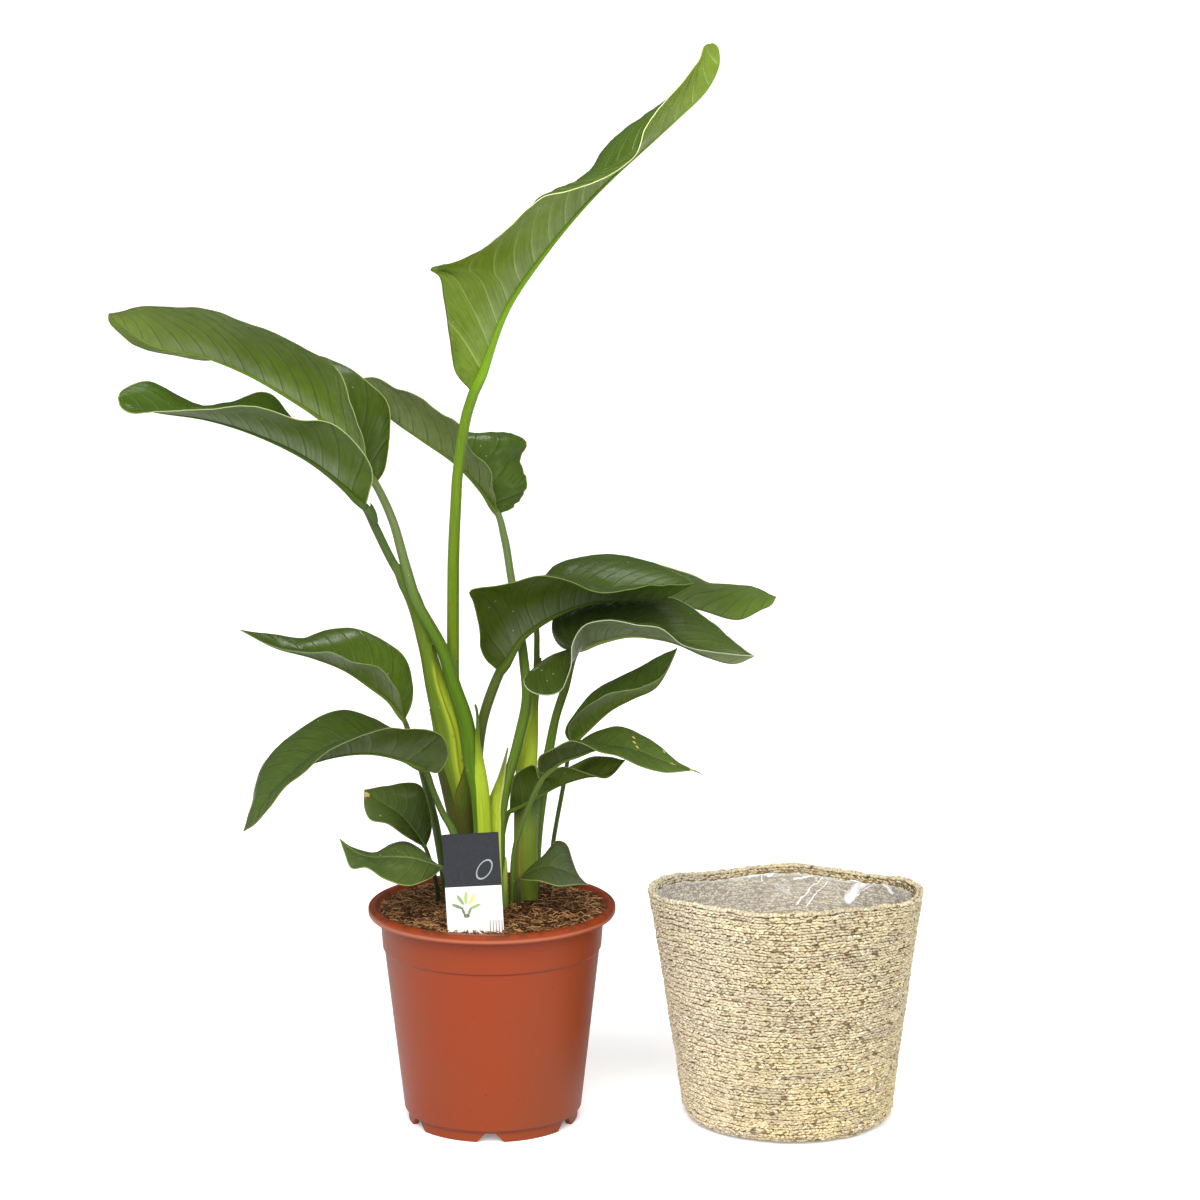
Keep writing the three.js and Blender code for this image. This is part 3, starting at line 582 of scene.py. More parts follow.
class ShapeTree(NodeWriter):
    """A Geometry Nodes tree with named inputs, run once on a piece and then removed."""

    def __init__(self, name: str, sizes: dict[str, float | int]) -> None:
        """Makes the empty tree.

        Args:
            name: Name of the tree.
            sizes: Input name to its value; a whole number makes a whole-number input.
        """
        super().__init__(bpy.data.node_groups.new(name, "GeometryNodeTree"))
        face = self.tree.interface
        face.new_socket("Geometry", in_out="INPUT", socket_type="NodeSocketGeometry")
        self.identifiers = {}
        for key, value in sizes.items():
            kind = "NodeSocketInt" if isinstance(value, int) else "NodeSocketFloat"
            self.identifiers[key] = face.new_socket(key, in_out="INPUT", socket_type=kind).identifier
        face.new_socket("Geometry", in_out="OUTPUT", socket_type="NodeSocketGeometry")
        self.sizes = sizes
        self.takes = self.add("NodeGroupInput").outputs
        self.gives = self.add("NodeGroupOutput").inputs

    def scatter(self, low: float, high: float, number: int) -> NodeSocket:
        """A random number for each point.

        Args:
            low: The least value.
            high: The greatest value.
            number: Moves the tree's seed, so that each use draws values of its own.

        Returns:
            The socket with the number.
        """
        seed = self.plus(self.takes["Seed"], float(number))
        node = self.add("FunctionNodeRandomValue", {"Seed": seed}, data_type="FLOAT")
        for socket, value in zip([s for s in node.inputs if s.enabled], (low, high)):
            socket.default_value = value
        return next(s for s in node.outputs if s.enabled)

    def strewn(self) -> NodeSocket:
        """Points strewn over the guide's faces."""
        feeds = {"Mesh": self.takes[0], "Density": self.takes["Density"], "Seed": self.takes["Seed"]}
        return self.add("GeometryNodeDistributePointsOnFaces", feeds).outputs["Points"]

    def spun(self, x: Any, y: Any, z: Any) -> Node:
        """A rotation from three angles."""
        return self.add("FunctionNodeEulerToRotation", {0: self.vector(x, y, z)})

    def store(self, shape: Any, mark: str, value: Any) -> Node:
        """Keeps a vector under a name on every instance.

        Args:
            shape: The instances.
            mark: The name that a finish reads it by.
            value: The vector.

        Returns:
            The node that puts the instances out.
        """
        settings = {"data_type": "FLOAT_VECTOR", "domain": "INSTANCE"}
        feeds = {"Geometry": shape, "Name": mark}
        node = self.add("GeometryNodeStoreNamedAttribute", feeds, **settings)
        self.feed(next(s for s in node.inputs if s.name == "Value" and s.enabled), value)
        return node

    def end(self, shape: Any, finish: Material) -> None:
        """Realizes the instances, sets the finish and closes the tree."""
        real = self.add("GeometryNodeRealizeInstances", {0: shape})
        feeds = {"Geometry": real, "Material": finish}
        self.feed(self.gives[0], self.add("GeometryNodeSetMaterial", feeds))

    def run(self, guide: Object, name: str) -> Object:
        """Runs the tree on a guide and keeps the result as a plain mesh.

        Args:
            guide: The object that the tree reads; it is removed.
            name: Name of the finished piece.

        Returns:
            The finished piece, at the origin.
        """
        step = guide.modifiers.new(self.tree.name, "NODES")
        step.node_group = self.tree
        for key, value in self.sizes.items():
            step[self.identifiers[key]] = value
        graph = bpy.context.evaluated_depsgraph_get()
        mesh = bpy.data.meshes.new_from_object(guide.evaluated_get(graph))
        mesh.name = name
        piece = bpy.data.objects.new(name, mesh)
        bpy.context.scene.collection.objects.link(piece)
        guide.modifiers.clear()
        bpy.data.objects.remove(guide)
        return piece


# ------------------------------------------------------------------ leaves
@dataclass(frozen=True)
class LeafRoute:
    """Where a leaf runs: stalk points with widths, midrib, and the two margins."""

    stalk: tuple
    rib: tuple
    near: tuple
    far: tuple
    pace: float = 1.0


@dataclass(frozen=True)
class Sheath:
    """A thin flap round a stalk, such as a sheath's free side or a collar.

    Its two margins are given as pairs of height and angle; -90 degrees faces the viewer and 0
    points right. The edge is brown where it is above 0 and pale where it is below.
    """

    first: tuple[tuple[float, float], ...]
    second: tuple[tuple[float, float], ...]
    lift: float = 0.9
    wider: float = 0.0
    shift: float = 0.0
    flare: float = 0.0
    yellow: float = 0.0
    brown: float = 0.0
    edge: float = 0.3
    glow: float = 0.0
    fade: float = 0.0


@dataclass(frozen=True)
class Scar:
    """A dried place on a blade: share along, signed share across, and radius in millimetres."""

    along: float
    across: float
    radius: float


@dataclass(frozen=True)
class LeafHabit:
    """How a leaf's surface moves, and what is torn or dried on it."""

    seed: int
    veins: float = 14.0
    sweep: float = 0.26
    bend: float = 1.1
    pleat: float = 0.6
    wave: float = 1.4
    wave_length: float = 46.0
    ragged: float = 0.0
    rib_size: float = 1.0
    hair: float = 0.0
    sheaths: tuple[Sheath, ...] = ()
    scars: tuple[Scar, ...] = ()


@dataclass(frozen=True)
class LeafTint:
    """Colours of a leaf, as sRGB codes, and how strong its pale waxy grey by the rib (partly a painted
    sheen), its veins, the painted sheen beside them and its gloss are.
    """

    slot: Slot
    under: str
    under_tip: str
    upper: str
    upper_tip: str
    rib: str
    neck: str
    stem: str
    foot: str
    vein: str = "2c3f14"
    margin: str = "a3ad62"
    margin_strength: float = 0.55
    margin_from: float = 0.0
    margin_to: float = 1.0
    # Strength and reach of the pale grey by the rib on the underside: partly the leaf's waxy coat,
    # partly a painted sheen along the veins.
    frost: float = 0.3
    frost_reach: float = 26.0
    # Strength of the painted sheen: a pale band of highlight beside each side vein.
    sheen: float = 0.16
    strands: float = 0.38
    lines: float = 0.65
    gloss: float = 0.23
    shine: float = 0.3

    def blade(self, w: MaterialWriter, mottle: Any) -> tuple[Any, Any, Any]:
        """Writes the blade's colour.

        Args:
            w: The material's writer.
            mottle: The soft unevenness.

        Returns:
            The colour, the height of the veins and the share of upper side.
        """
        along, across, face = w.parts(w.kept("leaf_place"))
        vein, from_rib, from_edge = w.parts(w.kept("leaf_vein"))
        is_upper = w.span(face, 0.4, 0.6)
        is_under = w.minus(1.0, is_upper)
        lines = w.group(EFFECTS.veins, {"Vein": vein, "Across": across})
        fine, line, pleat = (lines.outputs[k] for k in ("Fine", "Line", "Pleat"))
        reach = w.span(along, 0.05, 0.95)
        under = w.blend(reach, paint(self.under), paint(self.under_tip))
        upper = w.blend(reach, paint(self.upper), paint(self.upper_tip))
        blade = w.blend(is_upper, under, upper)
        weaker = w.span(along, 0.65, 0.9, 1.0, 0.3)
        strand = w.times(w.span(fine, 0.36, 0.64, self.strands, 0.0), weaker)
        blade = w.blend(strand, blade, (0.25, 0.32, 0.2, 1.0), "MULTIPLY")
        # Painted sheen: a pale grey-green highlight in a narrow band beside each side vein, fading away
        # from the rib.
        beside = w.maths("POWER", w.minus(1.0, pleat), 7.0)
        fade = w.span(from_rib, 0.0, 40.0, 1.0, 0.25)
        sheen = w.times(w.times(beside, fade), self.sheen)
        blade = w.over(blade, sheen, "8a9a66")
        # Pale grey on the underside by the rib, striped along the veins: partly the leaf's waxy coat,
        # partly a painted sheen.
        middle = w.times(w.span(along, 0.04, 0.2), w.span(along, 0.6, 0.97, 1.0, 0.0))
        wax_sheen_share = w.times(middle, w.span(from_rib, 1.0, self.frost_reach, 1.0, 0.0))
        wax_sheen_share = w.times(wax_sheen_share, w.span(beside, 0.0, 0.7, 0.72, 1.0))
        wax_sheen_share = w.times(wax_sheen_share, w.span(fine, 0.38, 0.6, 0.45, 1.0))
        wax_sheen_share = w.times(wax_sheen_share, w.times(is_under, self.frost))
        blade = w.over(blade, wax_sheen_share, "8d9484")
        thin = w.span(from_rib, 0.0, 60.0, 1.0, 0.55)
        veined = w.times(w.times(line, thin), self.lines)
        blade = w.over(blade, veined, self.vein)
        blade = w.over(blade, w.span(from_rib, 0.4, 1.6, 0.5, 0.0), self.rib)
        shown = w.span(along, self.margin_from - 0.06, self.margin_from + 0.02)
        ended = w.span(along, self.margin_to, self.margin_to + 0.08, 1.0, 0.0)
        shown = w.times(shown, ended)
        strength = w.span(shown, 0.0, 1.0, 0.55, self.margin_strength)
        edge = w.times(w.span(from_edge, 0.3, 0.95, 1.0, 0.0), strength)
        blade = w.blend(edge, blade, w.blend(shown, paint("38420f"), paint(self.margin)))
        blade = w.over(blade, w.span(mottle, 0.3, 0.7, 0.0, 0.2), "22300c")
        return blade, lines.outputs["Height"], is_upper

    def stalk(self, w: MaterialWriter) -> tuple[Any, Any]:
        """Writes the colour of the stalk, midrib and sheaths.

        Args:
            w: The material's writer.

        Returns:
            The colour, and the height of the streaks.
        """
        along, margin, face = w.parts(w.kept("leaf_place"))
        cosine, sine, third = w.parts(w.kept("leaf_vein"))
        _, yellow, brown = w.parts(w.kept("leaf_wear"))
        streaks = w.group(EFFECTS.streaks, {"Cosine": cosine, "Sine": sine, "Along": third})
        stem = w.blend(w.span(along, -1.0, -0.55), paint(self.foot), paint(self.stem))
        stem = w.over(stem, w.span(along, -0.4, -0.02), self.neck)
        stem = w.over(stem, w.span(along, -0.02, 0.05), self.rib)
        stem = w.over(stem, w.span(along, 0.25, 0.7, 0.0, 0.75), self.under)
        stem = w.over(stem, yellow, "aec232")
        stem = w.over(stem, brown, "42451a")
        streaked = w.span(streaks, 0.42, 0.66)
        stem = w.blend(w.times(streaked, 0.3), stem, (0.02, 0.03, 0.002, 1.0))
        speck = w.group(EFFECTS.dust, {"Place": w.place(), "Scale": 160.0, "Size": 0.2, "Share": 0.1})
        stem = w.over(stem, w.times(speck, 0.35), "6a4a20")
        is_sheath = w.span(face, -1.6, -1.4, 1.0, 0.0)
        rim = w.times(w.span(third, 0.35, 1.3, 1.0, 0.0), is_sheath)
        pale = w.times(rim, w.times(margin, -1.0), clamp=True)
        brown_rim = w.times(rim, margin, clamp=True)
        stem = w.over(stem, pale, "e6cdb0")
        stem = w.over(stem, brown_rim, "6e3d22")
        return stem, streaks.outputs["Height"]

    def build(self, name: str) -> Material:
        """Writes the leaf's material.

        Args:
            name: Name of the material.

        Returns:
            The material.
        """
        w = MaterialWriter(name)
        face = w.parts(w.kept("leaf_place"))[2]
        dried = w.parts(w.kept("leaf_wear"))[0]
        is_stem = w.span(face, -0.6, -0.4, 1.0, 0.0)
        place = w.place()
        mottle = w.group(EFFECTS.mottle, {"Place": place, "Coarse": 28.0, "Fine": 160.0})
        blade, veins, is_upper = self.blade(w, mottle)
        stem, ridges = self.stalk(w)
        colour = w.blend(is_stem, blade, stem)
        ragged = w.plus(dried, w.times(w.noise(place, 420.0), 0.35))
        dead = w.span(ragged, 0.6, 0.72)
        dead = w.times(dead, w.minus(1.0, is_stem))
        colour = w.over(colour, dead, "b89a62")
        specks = w.group(EFFECTS.dust, {"Place": place, "Scale": 230.0, "Size": 0.13, "Share": 0.05})
        colour = w.over(colour, w.times(specks, 0.45), "b3b48e")
        rough = w.span(is_upper, 0.0, 1.0, self.gloss + 0.16, self.gloss)
        rough = w.plus(rough, w.span(mottle, 0.3, 0.7, -0.06, 0.08))
        w.set(Base_Color=colour, Roughness=rough, IOR=1.45, Specular_IOR_Level=self.shine)
        w.bump(w.blend(is_stem, veins, ridges), 0.0005, 0.7)
        return w.material


def closed_sheet(middle: np.ndarray, normals: np.ndarray, thickness: Any, marks: dict) -> Patch:
    """A thin closed sheet round a grid of places.

    Args:
        middle: The sheet's middle, rows by columns by 3.
        normals: Its normals, towards the upper face.
        thickness: In millimetres, one value or one for each place.
        marks: Name to a pair of vectors grids, for the upper and the lower face.

    Returns:
        The sheet with both faces and the edge between them.
    """
    rows, columns = middle.shape[:2]
    half = np.broadcast_to(np.asarray(thickness, float) / 2, (rows, columns))[..., None]
    vertices = np.vstack([(middle + side * half * normals).reshape(-1, 3) for side in (1, -1)])
    under = rows * columns
    faces = grid_faces(rows, columns) + grid_faces(rows, columns, under, flip=True)
    loop = [(0, j) for j in range(columns - 1)]
    loop += [(i, columns - 1) for i in range(rows - 1)]
    loop += [(rows - 1, columns - 1 - j) for j in range(columns - 1)]
    loop += [(rows - 1 - i, 0) for i in range(rows - 1)]
    edge = [i * columns + j for i, j in loop]
    faces += [(a, under + a, under + b, b) for a, b in zip(edge, edge[1:] + edge[:1])]
    kept = {key: np.vstack([g.reshape(-1, 3) for g in pair]) for key, pair in marks.items()}
    return Patch(vertices, faces, kept)


def grid_normals(middle: np.ndarray) -> np.ndarray:
    """Normals of a grid of places, across its columns by along its rows."""
    return unit(np.cross(np.gradient(middle, axis=1), np.gradient(middle, axis=0)))


@dataclass
class Leaf:
    """One leaf: its blade, the midrib that runs down into the stalk, and the sheaths.

    It has the name of the CAD node that it stands for. Its route says where it runs, and its
    habit how the surface moves. The rest are sizes in millimetres and the stalk's sides.
    """

    name: str
    route: LeafRoute
    habit: LeafHabit
    spacing: float = 2.2
    thickness: float = 0.6
    arch: float = 0.1
    root_z: float = 148.0
    deepest: float = 9.5
    sides: int = 24

    def __post_init__(self) -> None:
        """Fits the leaf's curves and lays its middle sheet."""
        self.rib = Curve(self.route.rib)
        stalk = np.asarray(self.route.stalk, float)
        root = [stalk[0][0], stalk[0][1], self.root_z]
        onward = self.rib.at(np.array([0.06]))[0]
        self.stalk = Curve([root, *stalk[:, :3], onward])
        steps = np.linspace(0, 1, len(stalk) + 2)[:-1]
        self.knots = np.interp(steps, self.stalk.steps, self.stalk.reach) / self.stalk.length
        self.widths = np.concatenate([stalk[:1, 3], stalk[:, 3]])
        self.middle, self.place, self.away = self.lay_blade()
        self.normals = grid_normals(self.middle)

    def lay_blade(self) -> tuple[np.ndarray, np.ndarray, np.ndarray]:
        """Lays the blade's middle sheet.

        Returns:
            Places from the left margin to the right one in rows from base to tip, then for each
            its share along and signed share across, then its distances from rib and margin.
        """
        route, rib = self.route, self.rib
        base, tip = route.rib[0], route.rib[-1]
        left, right = (route.near, route.far) if tip[0] < base[0] else (route.far, route.near)
        rows = max(30, round(rib.length / self.spacing))
        shares = np.linspace(0, 1, rows + 1)
        paced = shares**route.pace
        ribs, ahead = rib.at(paced), rib.along(paced)
        halves = []
        for side, points in ((-1, left), (1, right)):
            margin = Curve([base, *points, tip]).at(shares)
            toward = unit(margin - ribs)
            toward[0], toward[-1] = toward[1], toward[-2]
            width = np.maximum(np.linalg.norm(margin - ribs, axis=1), 0.5)
            if points is route.far and self.habit.ragged:
                width = width - self.habit.ragged * np.abs(ripple(margin, 7.0, self.habit.seed))
                width = np.maximum(width, 0.5)
            up = unit(np.cross(toward, ahead) * side)
            across = self.columns(width, int(np.clip(round(width.max() / self.spacing), 8, 60)))
            far = across * width[:, None]
            bulge = 4 * self.arch * across * (1 - across) * width[:, None]
            spots = ribs[:, None] + toward[:, None] * far[..., None] + up[:, None] * bulge[..., None]
            near = 1 if points is route.near else -1
            halves.append((spots, across * near, far, (1 - across) * width[:, None]))
        spots, across, from_rib, from_edge = zip(*halves)
        middle = np.concatenate([spots[0][:, ::-1], ribs[:, None], spots[1]], axis=1)
        none = np.zeros((rows + 1, 1))
        widest = np.maximum(from_edge[0][:, :1], from_edge[1][:, :1]) + 2
        across, from_rib, from_edge = (
            np.hstack([left_half[:, ::-1], seam, right_half])
            for (left_half, right_half), seam in zip((across, from_rib, from_edge), (none, none, widest))
        )
        along = np.broadcast_to(shares[:, None], across.shape)
        return middle, np.stack([along, across], -1), np.stack([from_rib, from_edge], -1)

    @staticmethod
    def columns(width: np.ndarray, count: int) -> np.ndarray:
        """Spaces a row's places, closer together at the rib and at the margin.

        Args:
            width: Width of the half blade in each row.
            count: Places between the two ends.

        Returns:
            Shares of the width, one row each.
        """
        wide = np.maximum(width, 1.0)[:, None]
        first = np.minimum(1.2 / wide, 0.15)
        last = 1 - np.minimum(1.6 / wide, 0.15)
        inner = first + (last - first) * np.linspace(0, 1, count)
        return np.hstack([inner, 1 - np.minimum(0.6 / wide, 0.05), np.ones_like(wide)])

    def veins(self) -> np.ndarray:
        """Finds the side vein that each place lies at.

        Returns:
            A number for each place; whole numbers are veins.
        """
        along, across = self.place[..., 0], np.abs(self.place[..., 1])
        low, high = np.zeros_like(along), along.copy()
        for _ in range(22):
            start = (low + high) / 2
            lead = self.habit.sweep * (1 - np.exp(-start / 0.12)) * (1 - start**3)
            short = start + lead * across**self.habit.bend < along
            low, high = np.where(short, start, low), np.where(short, high, start)
        return self.habit.veins * start + np.where(self.place[..., 1] > 0, 0.0, 0.37)

    def blade(self) -> Patch:
        """Pleats and waves the blade.

        Returns:
            The blade as a closed sheet.
        """
        habit, (along, across) = self.habit, np.moveaxis(self.place, -1, 0)
        from_rib, from_edge = np.moveaxis(self.away, -1, 0)
        vein = self.veins()
        inside = ease(from_rib, 0.5, 9.0) * ease(from_edge, 0.0, 5.0)
        saw = np.mod(vein, 1.0)
        fold = np.where(saw < 0.22, saw / 0.22, (1 - saw) / 0.78)
        lift = habit.pleat * (fold - 0.5) * inside
        turn = along * self.rib.length / habit.wave_length * 2 * np.pi
        swing = 0.55 * np.sin(turn + habit.seed + 1.3 * np.sign(across))
        swing = swing + 0.9 * ripple(self.middle, 38.0, habit.seed)
        ends = ease(along, 0.0, 0.12) * ease(1 - along, 0.0, 0.1)
        lift = lift + habit.wave * np.abs(across) ** 1.6 * swing * ends
        lift = lift + 0.45 * ripple(self.middle, 18.0, habit.seed + 3, 2) * ease(from_rib, 2.0, 12.0)
        middle = self.middle + self.normals * lift[..., None]
        wear = np.zeros(along.shape)
        for scar in habit.scars:
            row = np.abs(along[:, 0] - scar.along).argmin()
            column = np.abs(across[row] - scar.across).argmin()
            gap = np.linalg.norm(self.middle - self.middle[row, column], axis=-1)
            wear = np.maximum(wear, 1 - ease(gap, 0.5 * scar.radius, 1.2 * scar.radius))
        worn = np.stack([wear, wear * 0, wear * 0], -1)
        lines = np.stack([vein, from_rib, from_edge], -1)
        upper, lower = (np.stack([along, across, np.full(along.shape, v)], -1) for v in (1.0, 0.0))
        marks = {"leaf_place": (upper, lower), "leaf_vein": (lines, lines), "leaf_wear": (worn, worn)}
        thick = self.thickness * (0.6 + 0.4 * ease(from_edge, 0.0, 3.0)) + 0.25 * (from_edge < 0.4)
        return closed_sheet(middle, grid_normals(middle), thick, marks)

    def width_at(self, shares: np.ndarray) -> np.ndarray:
        """The stalk's full width at shares of its length."""
        spread = [np.interp(shares + d, self.knots, self.widths) for d in (-0.012, 0.0, 0.012)]
        return sum(spread) / 3

    def ringed(self, values: np.ndarray) -> np.ndarray:
        """One value for each ring of a tube, given to all of its vertices."""
        return np.concatenate([np.repeat(values, self.sides), [values[0], values[-1]]])

    def stem(self) -> Patch:
        """Joins the stalk and the midrib in one tapering tube.

        Returns:
            The tube.
        """
        end = self.knots[-1]
        up = np.linspace(0, end, max(12, round(self.stalk.length * end / 3.0)))
        on = np.linspace(0.02, 0.985, max(20, round(self.rib.length / 3.0)))
        rows = len(self.middle) - 1
        column = int(np.abs(self.place[0, :, 1]).argmin())
        row = on ** (1 / self.route.pace) * rows
        under = [np.interp(row, np.arange(rows + 1), self.normals[:, column, k]) for k in range(3)]
        wide = self.width_at(up) / 2
        size = self.habit.rib_size
        taper = (1 - (1 - 0.7 * size) * ease(on, 0.0, 0.14)) * (1 - on) ** 1.5
        slim = wide[-1] * taper + 0.3
        sunk = self.rib.at(on) - unit(np.stack(under, 1)) * (0.45 * slim * ease(on, 0.0, 0.06))[:, None]
        centres = np.vstack([self.stalk.at(up), sunk])
        fade = ease(centres[:, 2], 180, 220) * (np.arange(len(centres)) < len(up) - 4)
        wander = ripple(centres, 60.0, self.habit.seed + 7, 2) * 0.5 * fade
        centres = centres + np.stack([wander, wander * 0.6, wander * 0], 1)
        widths = np.concatenate([wide, slim])
        depths = np.concatenate([np.minimum(wide, self.deepest / 2), slim])
        patch, angles = tube(centres, widths, depths, self.sides, 0.012)
        walked = np.concatenate([[0], np.cumsum(np.linalg.norm(np.diff(centres, axis=0), axis=1))])
        share = np.concatenate([up / end - 1, on])
        none = np.zeros(len(patch.vertices))
        round_it = [np.cos(angles), np.sin(angles)]
        patch.marks["leaf_place"] = np.stack([self.ringed(share), none, none - 1], 1)
        patch.marks["leaf_vein"] = np.stack([*round_it, self.ringed(walked / 100)], 1)
        return patch

    def sheath(self, flap: Sheath) -> Patch:
        """Lays a thin flap closely round the stalk, between its two margins.

        Args:
            flap: Its margins and how it stands off.

        Returns:
            The flap as a closed sheet.
        """
        heights = [[h for h, _ in margin] for margin in (flap.first, flap.second)]
        turns = [[a for _, a in margin] for margin in (flap.first, flap.second)]
        shares = np.linspace(0, self.knots[-1], 900)
        level = self.stalk.at(shares)[:, 2]
        low, high = (shares[np.abs(level - z).argmin()] for z in (min(heights[0]), max(heights[0])))
        up = np.linspace(low, high, max(12, round((high - low) * self.stalk.length / 2.2)))
        centres = self.stalk.at(up)
        one, two = (np.interp(centres[:, 2], h, a) for h, a in zip(heights, turns))
        turn = np.linspace(0, 1, 21)
        angle = np.radians(one[:, None] + (two - one)[:, None] * turn)
        ahead = self.stalk.along(up)
        across = unit(np.cross(AWAY, ahead))
        inward = np.cross(ahead, across)
        wide = self.width_at(up) / 2
        deep = np.minimum(wide, self.deepest / 2)
        top = max(heights[0])
        spike = flap.flare * ease(centres[:, 2], top - 26, top)
        lift = flap.lift + 0.5 * np.abs(2 * turn - 1) ** 8 + spike[:, None]
        out = (
            across[:, None] * ((wide[:, None] + flap.wider + lift) * np.cos(angle))[..., None]
            + inward[:, None] * ((deep[:, None] + lift) * np.sin(angle))[..., None]
        )
        middle = centres[:, None] + out + [flap.shift, 0, 0]
        span = np.radians(np.abs(two - one))[:, None] * wide[:, None]
        from_edge = np.minimum(turn, 1 - turn) * span
        along = np.broadcast_to((up / self.knots[-1] - 1)[:, None], angle.shape)
        flat = np.ones(angle.shape)
        ripe = flat * ease(top - centres[:, 2], 4, 55)[:, None]
        shown = ease(top - centres[:, 2], flap.fade, flap.fade + 14)[:, None]
        place = np.stack([along, flap.edge * shown * flat, -2.0 * flat], -1)
        lines = np.stack([np.cos(angle), np.sin(angle), from_edge], -1)
        lit = flap.glow * ease(turn, 0.72, 1.0) * shown
        wear = np.stack([0 * flat, np.clip(flap.yellow * ripe + lit, 0, 1), flap.brown * ripe], -1)
        marks = {"leaf_place": (place, place), "leaf_vein": (lines, lines), "leaf_wear": (wear, wear)}
        return closed_sheet(middle, grid_normals(middle), 0.5, marks)

    def hair(self) -> Patch:
        """Makes the dried thread that hangs on past the blade's tip.

        Returns:
            The thread.
        """
        on = np.linspace(0, 1, 9)
        tip, ahead = self.rib.at(np.array([0.99]))[0], self.rib.along(np.array([0.99]))[0]
        centres = tip + ahead * (on * self.habit.hair)[:, None] - [0, 0, 1] * (on**2 * 1.5)[:, None]
        patch, _ = tube(centres, 0.7 - 0.55 * on, 0.7 - 0.55 * on, 6, 0.02)
        for mark, value in (("place", [-0.5, 0, -1]), ("vein", [1, 0, 0]), ("wear", [0, 0, 1])):
            patch.marks[f"leaf_{mark}"] = np.tile(np.array(value, float), (len(patch.vertices), 1))
        return patch

    def build(self, tint: LeafTint) -> Object:
        """Builds the leaf and lets it stand for its node.

        Args:
            tint: The leaf's colours and slot.

        Returns:
            The leaf.
        """
        patches = [self.blade(), self.stem(), *(self.sheath(s) for s in self.habit.sheaths)]
        if self.habit.hair:
            patches.append(self.hair())
        piece = make_piece(self.name + "_grown", patches, [tint.build(self.name)])
        return settle(piece, self.name)


